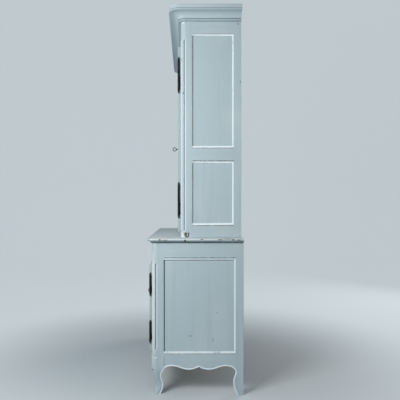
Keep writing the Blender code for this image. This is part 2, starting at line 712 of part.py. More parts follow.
def door_sizes(unit):
    """A right-hand door: its outer edge, the face of its posts, its low and high edge."""
    if unit == "upper":
        return UPPER_HALF - POST_FRONT + LIP_LAP, UPPER_FRONT_Y, *UPPER_DOOR
    return LOWER_HALF - POST_FRONT + LIP_LAP, LOWER_FRONT_Y, *LOWER_DOOR


def door_outline(unit, inset, meeting_inset=0.0):
    """Outline of a right-hand door, drawn in from the frame and from the meeting edge."""
    outer, _, low, high = door_sizes(unit)
    meet = MEETING_GAP / 2 + meeting_inset
    edge = outer - inset
    steps = ARCH_STEPS if unit == "upper" else 1
    top = []
    for step in range(steps + 1):
        x = edge + (meet - edge) * step / steps
        rise = arch_height(x) if unit == "upper" else 0.0
        top.append((x, high + rise - inset))
    return [(meet, low + inset), (edge, low + inset), *top]


def door_sight(unit):
    """Sight edge of a right-hand door panel, with a shaped top."""
    outer, _, low, high = door_sizes(unit)
    left, right = MEETING_GAP / 2 + STILE, outer - STILE
    points = [(left, low + DOOR_RAIL), (right, low + DOOR_RAIL)]
    for step in range(ARCH_STEPS + 1):
        share = step / ARCH_STEPS
        x = right + (left - right) * share
        if unit == "upper":
            rise = arch_height(x)
        else:
            rise = LOWER_PANEL_RISE * ((1 - cos(2 * pi * share)) / 2 - 1)
        points.append((x, high - DOOR_RAIL + rise))
    return points


def hinge_place(unit):
    outer, front, _, _ = door_sizes(unit)
    return outer + HINGE_OUT, front - HINGE_FORWARD


def finial(tip, towards):
    """Profile of a ball finial from its tip towards the barrel, as (radius, height)."""
    reach = towards * FINIAL
    ball = [(share * FINIAL_BALL, tip + reach * along) for share, along in FINIAL_TURNING]
    return ball + [(FINIAL_NECK, tip + reach * FINIAL_NECK_AT), (HINGE_RADIUS, tip + reach)]


def hinge(name, unit, label, centre, length, post, door_frame, pivot_empty, iron):
    """One barrel hinge: the lower half with the pin is let into the post, the upper into the door."""
    side = SIDES[label]
    x, y = hinge_place(unit)
    low, high = centre - length / 2, centre + length / 2
    joint_low, joint_high = centre - FIT / 2, centre + FIT / 2
    bore_top = high - FINIAL
    wall = (HINGE_RADIUS + BORE_RADIUS) / 2
    half_leaf = LEAF_THICK / 2

    pin_half = finial(low, 1) + [(HINGE_RADIUS, joint_low), (PIN_RADIUS, joint_low),
                                 (PIN_RADIUS, bore_top - FIT), (0.0, bore_top - FIT)]
    door_half = [(0.0, bore_top), (BORE_RADIUS, bore_top), (BORE_RADIUS, joint_high),
                 (HINGE_RADIUS, joint_high)] + finial(high, -1)[::-1]
    post_barrel = add(name + "_post_half", shift(lathe(pin_half, HINGE_SIDES), (x, y, 0)),
                      iron, side, smooth=True)
    door_barrel = add(name + "_door_half", shift(lathe(door_half, HINGE_SIDES), (x, y, 0)),
                      iron, side, pivot_empty, smooth=True)

    face = y + HINGE_FORWARD
    post_leaf = ((x - half_leaf, y, low + FINIAL + LEAF_INSET),
                 (x + half_leaf, face + LEAF_DEEP, joint_low - LEAF_INSET))
    edge = x - HINGE_OUT
    door_leaf = ((edge - LEAF_DEEP, y - half_leaf, joint_high + LEAF_INSET),
                 (x - wall, y + half_leaf, high - FINIAL - LEAF_INSET))
    for barrel, wood, (start, end) in ((post_barrel, post, post_leaf),
                                       (door_barrel, door_frame, door_leaf)):
        combine(barrel, helper(barrel.name + "_leaf", block(start, end), side), "UNION")
        room = ([value - FIT for value in start], [value + FIT for value in end])
        carve(wood, helper(barrel.name + "_mortise", block(*room), side))


def turned_to_front(bm, x, y, z):
    """Stand a shape made along Z so that it points out of the front at a place."""
    bmesh.ops.rotate(bm, verts=bm.verts, cent=(0, 0, 0), matrix=Matrix.Rotation(pi / 2, 3, "X"))
    return shift(bm, (x, y, z))


def rod(radius, low, high, sides=12):
    return lathe([(0.0, low), (radius, low), (radius, high), (0.0, high)], sides)


def lock_height(unit):
    _, _, low, high = door_sizes(unit)
    return (low + high) / 2 + (LOWER_LOCK_RISE if unit == "lower" else 0.0)


def lock(unit, door_frame, other_frame, pivot_empty, iron, steel):
    """Mortise lock of a right-hand door: case, bolt that slides into the left door, and key."""
    _, front, _, _ = door_sizes(unit)
    z = lock_height(unit)
    meet = MEETING_GAP / 2
    inner = front + TONGUE
    face = front - LIP_THICK
    key_x = meet + KEY_IN
    case_low = (meet, inner - LOCK_DEEP, z - LOCK_HIGH / 2)
    case_high = (meet + LOCK_WIDE, inner, z + LOCK_HIGH / 2)
    case = add(unit + "_lock_case", block(case_low, case_high), iron, parent=pivot_empty)
    recess = block((meet - CUT_PAST, case_low[1] - FIT, case_low[2] - FIT),
                   (case_high[0] + FIT, inner + CUT_PAST, case_high[2] + FIT))
    carve(door_frame, helper(unit + "_lock_recess", recess))

    bolt_low = (meet + FIT, inner - BOLT_BACK - LOCK_BOLT_THICK, z + BOLT_ABOVE_KEY)
    bolt_high = (meet + FIT + LOCK_BOLT_LONG, inner - BOLT_BACK,
                 z + BOLT_ABOVE_KEY + LOCK_BOLT_HIGH)
    bolt_axis = pivot(unit + "_lock_bolt_slide", bolt_low, pivot_empty)
    add(unit + "_lock_bolt", block(bolt_low, bolt_high), steel, parent=bolt_axis)
    room_low = [value - FIT for value in bolt_low]
    room_high = [value + FIT for value in bolt_high]
    carve(case, helper(unit + "_bolt_slot", block((meet - CUT_PAST, *room_low[1:]), room_high)))
    keep = block((-meet - BOLT_THROW - FIT, *room_low[1:]), (-meet + CUT_PAST, *room_high[1:]))
    carve(other_frame, helper(unit + "_bolt_mortise", keep))

    bore = helper(unit + "_key_bore", turned_to_front(
        rod(KEY_RADIUS + KEY_PLAY, -inner - CUT_PAST, CUT_PAST - face), key_x, 0.0, z))
    chamber = helper(unit + "_key_chamber", turned_to_front(
        rod(CHAMBER, -inner - CUT_PAST, BIT_DEEP + 2 * FIT - inner), key_x, 0.0, z))
    carve(door_frame, bore)
    carve(case, bore, chamber)
    key(unit, key_x, face, inner, z, pivot_empty, steel)


def bow_ring():
    """Ring of the key's bow, round the X axis."""
    bm = bmesh.new()
    wire = bmesh.ops.create_circle(bm, segments=8, radius=BOW_WIRE)["verts"]
    bmesh.ops.rotate(bm, verts=wire, cent=(0, 0, 0), matrix=Matrix.Rotation(pi / 2, 3, "X"))
    bmesh.ops.translate(bm, verts=wire, vec=(0, 0, BOW_RADIUS))
    bmesh.ops.spin(bm, geom=bm.verts[:] + bm.edges[:], cent=(0, 0, 0), axis=(1, 0, 0),
                   angle=2 * pi, steps=14, use_merge=True)
    bmesh.ops.remove_doubles(bm, verts=bm.verts, dist=0.00001)
    return bm


def key(unit, x, face, inner, z, pivot_empty, steel):
    """Key in the lock: shank, bow and bit, its bow upright in a plane square to the door."""
    axis = pivot(unit + "_key_axis", (x, face, z), pivot_empty)
    reach = UPPER_KEY_REACH if unit == "upper" else LOWER_KEY_REACH
    bow_middle = reach - BOW_RADIUS - BOW_WIRE - face
    bow_foot = bow_middle - BOW_RADIUS - BOW_WIRE
    collar_low = COLLAR_AT - face
    collar_high = collar_low + COLLAR_LONG
    shank = [(0.0, FIT - inner), (KEY_RADIUS, FIT - inner), (KEY_RADIUS, collar_low),
             (KEY_COLLAR, collar_low), (KEY_COLLAR, collar_high), (KEY_RADIUS, collar_high),
             (KEY_RADIUS, bow_foot + SHANK_INTO_BOW), (0.0, bow_foot + SHANK_INTO_BOW)]
    piece = add(unit + "_key", turned_to_front(lathe(shank, 10), x, 0.0, z), steel,
                parent=axis, smooth=True)
    bow = turned_to_front(shift(bow_ring(), (0, 0, bow_middle)), x, 0.0, z)
    combine(piece, helper(unit + "_key_bow", bow), "UNION")
    bit = block((x - BIT_THICK / 2, inner - BIT_DEEP - FIT, z - BIT_REACH),
                (x + BIT_THICK / 2, inner - 3 * FIT, z - KEY_RADIUS / 2))
    combine(piece, helper(unit + "_key_bit", bit), "UNION")


def slide_bolt(unit, door_frame, frieze, pivot_empty, iron):
    """Flush bolt in the back of a left-hand door that slides up into the frieze rail."""
    _, front, _, high = door_sizes(unit)
    rise = UPPER_DOOR_RISE if unit == "upper" else 0.0
    opening_top = high + rise - LIP_LAP
    tongue_top = opening_top - TONGUE_PLAY
    inner = front + TONGUE
    start = MEETING_GAP / 2 + SLIDE_IN
    end = start + SLIDE_WIDE
    low = tongue_top - FIT - SLIDE_LONG
    seat = inner - SLIDE_DEEP + FIT
    tab = low + SLIDE_LONG / 2
    outline = [(seat, low), (inner, low), (inner, tab), (inner + SLIDE_TAB, tab),
               (inner + SLIDE_TAB, tab + SLIDE_TAB_HIGH), (inner, tab + SLIDE_TAB_HIGH),
               (inner, tongue_top - FIT), (seat, tongue_top - FIT)]
    axis = pivot(unit + "_slide_bolt_axis", (-start, inner, low), pivot_empty)
    add(unit + "_slide_bolt", prism(outline, "x", start + FIT, end - FIT), iron, -1, axis)
    groove = block((start, inner - SLIDE_DEEP, low - FIT),
                   (end, inner + CUT_PAST, opening_top + CUT_PAST))
    carve(door_frame, helper(unit + "_slide_groove", groove, -1))
    socket = block((start - SLIDE_PLAY, seat - SLIDE_PLAY, opening_top - CUT_PAST),
                   (end + SLIDE_PLAY, inner + SLIDE_PLAY, tongue_top + SLIDE_TRAVEL + SLIDE_PLAY))
    carve(frieze, helper(unit + "_slide_socket", socket, -1))


def doors(unit, body, paint, iron, steel):
    """Both doors of one body, with their panels, hinges, lock and slide bolt."""
    _, front, low, high = door_sizes(unit)
    face = front - LIP_THICK
    sight = door_sight(unit)
    lip = door_outline(unit, 0.0)
    eased = door_outline(unit, LIP_EASE)
    tongue = door_outline(unit, LIP_LAP + TONGUE_PLAY, MEETING_STEP)
    if unit == "upper":
        length, hinges = UPPER_HINGE, (low + UPPER_HINGE_LOW, high - UPPER_HINGE_HIGH)
    else:
        length, hinges = LOWER_HINGE, (low + LOWER_HINGE_LOW, high - LOWER_HINGE_HIGH)
    levels = ((eased, face), (lip, face + LIP_EASE), (lip, front - FIT), (tongue, front - FIT),
              (tongue, front + TONGUE))
    frames, pivots = {}, {}
    for label, side in SIDES.items():
        x, y = hinge_place(unit)
        pivots[label] = pivot("%s_door_axis_%s" % (unit, label), (side * x, y, low))
        rings = [[(u, deep, v) for u, v in outline] for outline, deep in levels]
        frames[label] = add("%s_door_frame_%s" % (unit, label), loft(rings), paint, side,
                            pivots[label])
        carve(frames[label], panel_opening("%s_door_opening_%s" % (unit, label), sight, "y",
                                           face, 1, LIP_THICK + TONGUE, side))
        add("%s_door_panel_%s" % (unit, label), board_panel(sight, "y", face, 1, fielded=True),
            paint, side, pivots[label])
        for where, centre in zip(("lower", "upper"), hinges):
            hinge("%s_door_%s_hinge_%s" % (unit, where, label), unit, label, centre, length,
                  body["posts"][label], frames[label], pivots[label], iron)
    lock(unit, frames["R"], frames["L"], pivots["R"], iron, steel)
    slide_bolt(unit, frames["L"], body["frieze"], pivots["L"], iron)


def main():
    for old in list(bpy.data.objects):
        bpy.data.objects.remove(old, do_unlink=True)
    paint = finish("grey_blue_paint", (0.39, 0.49, 0.54), 0.55)
    wood = finish("bare_wood", (0.32, 0.21, 0.12), 0.70)
    iron = finish("dark_iron", (0.030, 0.030, 0.032), 0.50, 0.8)
    steel = finish("worn_steel", (0.33, 0.31, 0.28), 0.40, 1.0)
    lower = lower_body(paint, wood)
    lower_top(paint)
    upper = upper_body(paint, wood)
    cornice(paint)
    doors("lower", lower, paint, iron, steel)
    doors("upper", upper, paint, iron, steel)


main()
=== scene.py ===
# %% [markdown]
# A painted buffet in two bodies
#
# The CAD frame holds every piece of the buffet at its real size. This lesson dresses it: softer
# edges, white lines on the mouldings, brushed grey-blue paint, dark iron and bare boards. Each cell
# adds one thing and prints what it made.

# %% Load the frame
import json
from math import asin, copysign, cos, pi, radians, sin

import bmesh
import bpy
from mathutils import Matrix, Vector


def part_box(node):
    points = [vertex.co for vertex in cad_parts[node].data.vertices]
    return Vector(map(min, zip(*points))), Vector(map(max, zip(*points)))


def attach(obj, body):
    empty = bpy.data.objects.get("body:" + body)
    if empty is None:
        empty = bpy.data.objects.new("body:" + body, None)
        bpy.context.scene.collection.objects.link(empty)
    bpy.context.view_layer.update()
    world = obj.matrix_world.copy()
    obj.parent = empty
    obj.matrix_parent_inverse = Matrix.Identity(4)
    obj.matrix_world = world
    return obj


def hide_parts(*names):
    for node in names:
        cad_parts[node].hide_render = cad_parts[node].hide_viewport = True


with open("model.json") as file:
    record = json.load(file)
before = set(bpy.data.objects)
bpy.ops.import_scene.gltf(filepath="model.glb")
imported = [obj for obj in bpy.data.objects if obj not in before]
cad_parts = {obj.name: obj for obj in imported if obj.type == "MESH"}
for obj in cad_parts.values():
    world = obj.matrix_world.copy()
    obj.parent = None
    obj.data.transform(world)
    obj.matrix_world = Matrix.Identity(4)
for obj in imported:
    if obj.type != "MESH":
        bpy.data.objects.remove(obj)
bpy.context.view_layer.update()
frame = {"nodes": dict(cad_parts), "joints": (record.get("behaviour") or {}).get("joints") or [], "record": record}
nodes = frame["nodes"]
joints = {joint["name"]: joint for joint in frame["joints"]}

# %% [markdown]
# The photograph looks straight at the right-hand side from a little above the top board, so depth
# lines run to one point. A long lens with a small shift puts that point left of the middle and keeps
# the posts upright, where turning the camera would lean them.

# %% Camera
IMAGE = 400                     # pixels, both ways
VANISHING = (187.0, 206.0)      # the pixel where lines across the buffet meet
FOCAL_PIXELS = 482.0
SENSOR = 36.0                   # millimetres
EYE = Vector((3.593, -0.028, 1.145))

lens = bpy.data.cameras.new("camera")
lens.sensor_width = SENSOR
lens.lens = FOCAL_PIXELS * SENSOR / IMAGE
lens.shift_x = (IMAGE / 2 - VANISHING[0]) / IMAGE
lens.shift_y = (VANISHING[1] - IMAGE / 2) / IMAGE
camera = bpy.data.objects.new("camera", lens)
camera.location = EYE
camera.rotation_euler = (pi / 2, 0.0, pi / 2)
bpy.context.scene.collection.objects.link(camera)
bpy.context.scene.camera = camera
bpy.context.scene.view_settings.view_transform = "Standard"
print("camera:", round(lens.lens, 1), "mm lens at", tuple(round(v, 2) for v in EYE))

# %% [markdown]
# Shader sums are easier to read as Python. One small class wraps a socket: plus, minus and times add
# Math nodes, and `add` makes any other node from its type, its settings and its sockets. The masks
# below are mostly a noise or a direction passed through `step`. Its two limits, and the share of a
# colour that a mask lets through, were set one by one.


# %% Shader helper
class Flow:
    """A value on its way through a material's node tree."""

    def __init__(self, tree, socket):
        self.tree = tree
        self.socket = socket

    def add(self, kind, sockets, settings=None, out=0):
        """Any node: settings first, then the values or links of its input sockets."""
        node = self.tree.nodes.new(kind)
        for name, value in (settings or {}).items():
            setattr(node, name, value)
        for key, value in sockets.items():
            if isinstance(value, Flow):
                self.tree.links.new(value.socket, node.inputs[key])
            else:
                node.inputs[key].default_value = value
        return Flow(self.tree, node.outputs[out])

    def math(self, operation, *values):
        """A Math node of flows and numbers."""
        return self.add("ShaderNodeMath", dict(enumerate(values)), {"operation": operation})

    def __add__(self, other):
        return self.math("ADD", self, other)

    def __sub__(self, other):
        return self.math("SUBTRACT", self, other)

    def __rsub__(self, other):
        return self.math("SUBTRACT", other, self)

    def __mul__(self, other):
        return self.math("MULTIPLY", self, other)

    __radd__ = __add__
    __rmul__ = __mul__

    def step(self, low, high):
        """0 below low, 1 above high, smooth between them. Low may be the larger one."""
        sockets = {"Value": self, "From Min": low, "From Max": high}
        return self.add("ShaderNodeMapRange", sockets, {"interpolation_type": "SMOOTHSTEP"})

    def noise(self, scale, detail=3.0, rough=0.55):
        """Soft noise of this position, at one scale or at a scale for each axis."""
        stretch = scale if isinstance(scale, tuple) else (scale, scale, scale)
        spread = self.add("ShaderNodeMapping", {"Vector": self, "Scale": stretch})
        sockets = {"Vector": spread, "Scale": 1.0, "Detail": detail, "Roughness": rough}
        return self.add("ShaderNodeTexNoise", sockets)

    def tint(self, other, share):
        """This colour passing into another by a share."""
        return self.add("ShaderNodeMix", {0: share, 6: self, 7: other}, {"data_type": "RGBA"}, 2)

    def colour(self, value):
        """A fixed colour to start from."""
        fixed = self.add("ShaderNodeRGB", {})
        fixed.socket.default_value = value
        return fixed

    def axis(self, name):
        """One coordinate of a position."""
        return self.add("ShaderNodeSeparateXYZ", {"Vector": self}, out="XYZ".index(name))

    def facing(self, name):
        """How far the surface faces along an axis, -1 to 1."""
        return self.add("ShaderNodeNewGeometry", {}, out=1).axis(name)

    def edge(self, radius):
        """How far the surface turns within a radius: 0 on a flat face, more on an arris."""
        soft = self.add("ShaderNodeBevel", {"Radius": radius}, {"samples": 4})
        normal = self.add("ShaderNodeNewGeometry", {}, out=1)
        sockets = {0: soft, 1: normal}
        return 1.0 - self.add("ShaderNodeVectorMath", sockets, {"operation": "DOT_PRODUCT"}, 1)

    def corner(self, distance):
        """How shut in the surface is: 0 in the open, towards 1 in a corner."""
        return 1.0 - self.add("ShaderNodeAmbientOcclusion", {"Distance": distance}, {"samples": 8}, 1)


# %% [markdown]
# Four helpers start and finish each material. Colours are written as they look on a screen, and the
# shader wants them linear.


# %% Material helpers
def linear(red, green, blue):
    """A colour written in screen values, 0 to 255, as the shader takes it."""
    parts = [value / 255 for value in (red, green, blue)]
    return (*[v / 12.92 if v <= 0.04045 else ((v + 0.055) / 1.055) ** 2.4 for v in parts], 1.0)


def new_material(name):
    """A material with its shader and the place on the piece as a flow."""
    material = bpy.data.materials.new(name)
    material.use_nodes = True
    tree = material.node_tree
    shader = tree.nodes["Principled BSDF"]
    place = Flow(tree, tree.nodes.new("ShaderNodeTexCoord").outputs["Object"])
    return material, shader, place


def feed(shader, place, **sockets):
    """Link flows to the shader's sockets, whose names are written with underscores."""
    for name, value in sockets.items():
        place.tree.links.new(value.socket, shader.inputs[name.replace("_", " ")])


def bump(place, height, distance, strength):
    """A normal roughened by a height."""
    sockets = {"Height": height, "Distance": distance, "Strength": strength}
    return place.add("ShaderNodeBump", sockets)


# %% [markdown]
# The stage is a pale sweep: floor, a rounded corner and a wall in one sheet, so no line shows behind
# the buffet. One edge of it is drawn as a line, the corner is a spin of a point, and the whole line is
# drawn out sideways.

# %% Stage
SWEEP_FRONT = 6.0       # where the floor of the sweep starts, behind the camera
SWEEP_DEEP = -7.0       # where its wall stands
SWEEP_ROUND = 2.0
SWEEP_STEPS = 16
SWEEP_WIDE = 9.0        # each way
SWEEP_HIGH = 6.0

bm = bmesh.new()
floor_front = bm.verts.new((SWEEP_FRONT, -SWEEP_WIDE, 0.0))
floor_back = bm.verts.new((SWEEP_DEEP + SWEEP_ROUND, -SWEEP_WIDE, 0.0))
bm.edges.new((floor_front, floor_back))
arc = bmesh.ops.spin(bm, geom=[floor_back], angle=pi / 2, steps=SWEEP_STEPS, axis=(0, 1, 0),
                     cent=(SWEEP_DEEP + SWEEP_ROUND, -SWEEP_WIDE, SWEEP_ROUND))
wall_top = bm.verts.new((SWEEP_DEEP, -SWEEP_WIDE, SWEEP_HIGH))
bm.edges.new((arc["geom_last"][0], wall_top))
sheet = bmesh.ops.extrude_edge_only(bm, edges=bm.edges)["geom"]
bmesh.ops.translate(bm, verts=[v for v in sheet if isinstance(v, bmesh.types.BMVert)],
                    vec=(0, 2 * SWEEP_WIDE, 0))
bmesh.ops.recalc_face_normals(bm, faces=bm.faces)
sweep_mesh = bpy.data.meshes.new("sweep")
bm.to_mesh(sweep_mesh)
bm.free()
sweep_mesh.shade_smooth()
sweep = bpy.data.objects.new("sweep", sweep_mesh)
bpy.context.scene.collection.objects.link(sweep)
print("sweep:", len(sweep_mesh.polygons), "faces")

# %% [markdown]
# To keep the background pale without more light on the buffet, the far sweep glows a little, but only
# for rays that come from the camera or a reflection. Near the buffet it doesn't, so the shadow stays.

# %% Colour of the stage
PALE = linear(210, 221, 227)
PALE_CLOUD = linear(202, 213, 220)
CLOUD_SCALE = 0.5
SWEEP_ROUGH = 0.9
GLOWING = linear(222, 232, 238)
GLOW = 0.62             # at its most, far from the buffet
GLOW_FROM = (0.6, 2.2)  # metres from the middle: where it starts and where it is full


def seen(place):
    """1 for what the camera sees, straight or in a reflection, and 0 for light that bounces about."""
    rays = ("Is Camera Ray", "Is Glossy Ray", "Is Transmission Ray")
    return sum(place.add("ShaderNodeLightPath", {}, out=ray) for ray in rays)


material, shader, place = new_material("pale_sweep")
feed(shader, place, Base_Color=place.colour(PALE).tint(PALE_CLOUD, place.noise(CLOUD_SCALE)))
shader.inputs["Roughness"].default_value = SWEEP_ROUGH
lit = Flow(place.tree, shader.outputs["BSDF"])
glow = place.add("ShaderNodeEmission", {"Color": GLOWING, "Strength": 1.0})
far = place.add("ShaderNodeVectorMath", {0: place}, {"operation": "LENGTH"}, 1).step(*GLOW_FROM)
both = place.add("ShaderNodeMixShader", {0: seen(place) * far * GLOW, 1: lit, 2: glow})
place.tree.links.new(both.socket, place.tree.nodes["Material Output"].inputs["Surface"])
sweep_mesh.materials.append(material)
print("sweep colour:", material.name)

# %% [markdown]
# The light is soft and comes from the left of the picture, in front of the doors. One square lamp
# stands there, a larger one behind lights the far side, and the world fills in the rest.

# %% Lamps
LAMP_COLOUR = (1.0, 0.98, 0.95)
WORLD_COLOUR = (0.93, 0.97, 1.0, 1.0)
WORLD_STRENGTH = 0.30
WORLD_SEEN = 0.6                # what the camera sees of the world past the sweep


def soft_lamp(name, place, aim, size, watts):
    """A square lamp at a place, turned to what it lights."""
    lamp = bpy.data.lights.new(name, "AREA")
    lamp.shape = "SQUARE"
    lamp.size = size
    lamp.energy = watts
    lamp.color = LAMP_COLOUR
    stand = bpy.data.objects.new(name, lamp)
    stand.location = place
    stand.rotation_euler = (Vector(aim) - Vector(place)).to_track_quat("-Z", "Y").to_euler()
    bpy.context.scene.collection.objects.link(stand)
    print("lamp:", name, watts, "W")


soft_lamp("front light", place=(2.12, -1.24, 1.8), aim=(0.5, 0.0, 1.4), size=1.0, watts=38.5)
soft_lamp("back fill", place=(-2.4, 3.1, 2.0), aim=(0.0, 0.2, 1.2), size=2.0, watts=45.0)

world = bpy.data.worlds.new("soft_room")
world.use_nodes = True
room = world.node_tree.nodes["Background"]
room.inputs["Color"].default_value = WORLD_COLOUR
outlook = Flow(world.node_tree, room.outputs[0])
strength = seen(outlook) * (WORLD_SEEN - WORLD_STRENGTH) + WORLD_STRENGTH
world.node_tree.links.new(strength.socket, room.inputs["Strength"])
bpy.context.scene.world = world
print("world:", WORLD_STRENGTH)

# %% [markdown]
# Paint chips and rubs have places of their own, so a mask for one ragged spot comes first. A plain
# ellipse would look stamped on: two noises, of specks and of finer grit, fray its outline.

# %% Ragged spots
SPECK_SCALE = 55.0
GRIT_SCALE = 240.0
SPECK_FRAY = 2.2                # how far specks and grit eat into the outline
GRIT_FRAY = 2.0
SPOT_RIM = (0.1, 0.3)
SPOT_DEEP = 0.005               # a spot fades in over this, going outwards


def spot(place, speck, outer, y, z, half_y, half_z):
    """1 within a ragged spot on the right-hand side, further out than outer, and 0 elsewhere."""
    across = (place.axis("Y") - y) * (1 / half_y)
    up = (place.axis("Z") - z) * (1 / half_z)
    grit = place.noise(GRIT_SCALE, 2.0)
    near = 1.0 - across * across - up * up + (speck - 0.5) * SPECK_FRAY + (grit - 0.5) * GRIT_FRAY
    return near.step(*SPOT_RIM) * place.axis("X").step(outer, outer + SPOT_DEEP)


# %% [markdown]
# The posts are fluted, and the flutes show the light best: their arrises are rubbed pale, partly wear
# and partly a painted highlight. The wall of a flute that is turned from the light is painted dull and
# dark as shade, and the wall turned to it is painted pale as a highlight. A bevelled normal finds the
# arrises, and ambient occlusion and the direction of the face find the walls.

# %% Flutes: wear, painted shade and painted highlight
PAINT_DULL = linear(156, 172, 178)
# pale of rubbed arrises, and of painted highlights on the flutes
RUB_AND_HIGHLIGHT = linear(238, 248, 253)
# dark of dust and dark joints, and of painted shade in corners
DUST_AND_SHADE = linear(58, 66, 70)
FLUTE_FADE = 0.010              # they fade out over this, towards the side
FLUTE_FOOT = (0.24, 0.27)       # and start between these heights on the lower posts
ARRIS_RADIUS = 0.007
ARRIS_SHARE = 0.9
# shares of painted shade and of painted highlight on the flute walls
FLUTE_SHADE = 0.65
FLUTE_HIGHLIGHT = 0.55


def flutes_rubbed_and_painted_light(place, colour, shut_in, flutes_to):
    """Flutes forward of flutes_to: pale arrises, and painted shade and painted highlight on the walls."""
    flutes = place.axis("Y").step(flutes_to, flutes_to - FLUTE_FADE) * place.axis("Z").step(*FLUTE_FOOT)
    # Arrises rubbed pale: partly wear, partly a painted highlight.
    colour = colour.tint(RUB_AND_HIGHLIGHT, flutes * place.edge(ARRIS_RADIUS).step(0.02, 0.15) * ARRIS_SHARE)
    # Painted shade: flute walls turned from the light are tinted dull and dark.
    shaded = flutes * shut_in.step(0.06, 0.16) * place.facing("Y").step(-0.25, 0.1)
    colour = colour.tint(PAINT_DULL, shaded).tint(DUST_AND_SHADE, shaded * FLUTE_SHADE)
    # Painted highlight: flute walls turned to the light are tinted pale.
    aside = place.math("ABSOLUTE", place.facing("X")).step(0.55, 0.75)
    bright = flutes * shut_in.step(0.04, 0.12) * place.facing("Y").step(-0.25, -0.5) * aside
    return colour.tint(RUB_AND_HIGHLIGHT, bright * FLUTE_HIGHLIGHT)


# %% [markdown]
# Grey-blue chalk paint is the main finish. It was brushed along each board, so its streaks are noise
# stretched along the grain over a slow mottle. Hands rub it thin on the arrises, and the corners are
# darkened with dust and painted shade: a bevelled normal finds the first and ambient occlusion the
# second.

# %% Grey-blue paint
PAINT = linear(178, 196, 204)
PAINT_RUBBED = linear(206, 217, 221)
CREAM = linear(228, 234, 232)
BARE = linear(66, 53, 49)
BARE_PALE = linear(118, 97, 88)
STROKES = {"x": (2.0, 90.0, 90.0), "y": (90.0, 2.0, 90.0), "z": (90.0, 90.0, 2.0)}
BROAD = {"x": (0.7, 14.0, 14.0), "y": (14.0, 0.7, 14.0), "z": (14.0, 14.0, 0.7)}
MOTTLE_SCALE = (3.0, 3.0, 2.2)
CHIP_SCALE = 11.0               # of the stray chips along arrises
GRAIN_SCALE = (180.0, 180.0, 60.0)
EDGE_RADIUS = 0.003
CORNER_REACH = 0.014              # how far off a corner is felt
SIDE_FROM = 0.3                 # spots lie further out than this, on the right-hand side
MOTTLE_SHARE = 0.35
STROKE_SHARE = 0.3
BROAD_SHARE = 0.25
EDGE_SHARE = 0.7
DUST_AND_SHADE_SHARE = 0.5
RUB_AND_HIGHLIGHT_SHARE = 0.55
STROKE_HIGH = 0.0008            # height of the brush marks


def chalk_paint(name, along, chips=(), rubs_and_highlights=(), outer=SIDE_FROM, flutes_to=None, base=PAINT):
    """Worn matt paint of a base colour, brushed along one axis. Chips to the wood, and pale rubs and
    painted highlights, are (y, z, half y, half z) spots on the right-hand side. A post has flutes
    forward of flutes_to."""
    material, shader, place = new_material(name)
    stroke = place.noise(STROKES[along], 4.0)
    broad = place.noise(BROAD[along], 2.0)
    mottle = place.noise(MOTTLE_SCALE)
    speck = place.noise(SPECK_SCALE)
    edge = place.edge(EDGE_RADIUS)
    shut_in = place.corner(CORNER_REACH)
    colour = place.colour(base).tint(PAINT_RUBBED, mottle.step(0.45, 0.8) * MOTTLE_SHARE)
    streaks = stroke.step(0.5, 0.8) * STROKE_SHARE + broad.step(0.5, 0.75) * BROAD_SHARE
    colour = colour.tint(PAINT_DULL, streaks)
    colour = colour.tint(PAINT_RUBBED, edge.step(0.03, 0.3) * speck.step(0.4, 0.6) * EDGE_SHARE)
    if flutes_to is not None:
        colour = flutes_rubbed_and_painted_light(place, colour, shut_in, flutes_to)
    # Dust and painted shade: darker in corners found by ambient occlusion.
    colour = colour.tint(DUST_AND_SHADE, shut_in.step(0.35, 0.75) * DUST_AND_SHADE_SHARE)
    # Pale spots: rubbed paint, and painted highlights where they stand for light.
    for pale_spot in rubs_and_highlights:
        colour = colour.tint(CREAM, spot(place, speck, outer, *pale_spot) * RUB_AND_HIGHLIGHT_SHARE)
    bare = edge.step(0.08, 0.3) * place.noise(CHIP_SCALE).step(0.66, 0.7)
    for chip in chips:
        bare = bare.math("MAXIMUM", bare, spot(place, speck, outer, *chip))
    wood = place.colour(BARE).tint(BARE_PALE, place.noise(GRAIN_SCALE).step(0.45, 0.7))
    feed(shader, place, Base_Color=colour.tint(wood, bare), Roughness=0.5 + stroke * 0.2,
         Normal=bump(place, stroke - bare * 0.6, STROKE_HIGH, 0.3))
    return material


paints = {along: chalk_paint("grey_blue_paint_" + along, along) for along in STROKES}
print("paint along", ", ".join(paints))

# %% [markdown]
# Shade is painted into the paint where it falls: under the edge of the top board and in the mouldings
# that face the post. On the rails, the shadows beside the mouldings are painted as broken dark lines.

# %% Painted shade
SHADE_COLOUR = linear(48, 58, 63)
SHADE_SCALE = 18.0
SHADE_SHARE = 0.5
LINE_SCALE = (45.0, 45.0, 260.0)    # long breaks along a line and fine ones across it
LINE_SHARE = 1.6                    # over 1, so that the breaks are clean


def shade_paint(name, scale, clean, share):
    """Painted shade: dark paint that passes into lighter paint in clouds, by a share."""
    material, shader, place = new_material(name)
    cloud = place.noise(scale, 4.0)
    colour = place.colour(SHADE_COLOUR).tint(clean, cloud.step(0.45, 0.8) * share)
    feed(shader, place, Base_Color=colour, Roughness=0.7 + cloud * 0.2)
    return material


painted_shade = shade_paint("painted_shade", SHADE_SCALE, PAINT_DULL, SHADE_SHARE)
shade_line = shade_paint("shade_line", LINE_SCALE, PAINT, LINE_SHARE)
# the two materials of painted shade
print("grime:", painted_shade.name, shade_line.name)

# %% [markdown]
# The mouldings and the shaped lower edges were picked out in white afterwards, with a small brush and
# an unsteady hand, so the white thins here and there and lets the grey-blue through.

# %% White line paint
WHITE = linear(238, 250, 255)
THIN_SCALE = 26.0
QUIRK_REACH = 0.004             # how far off a corner is felt on a narrow moulding
WORN_TO_REAR = (-0.13, 0.02)    # the line over the low panels wears thin between these


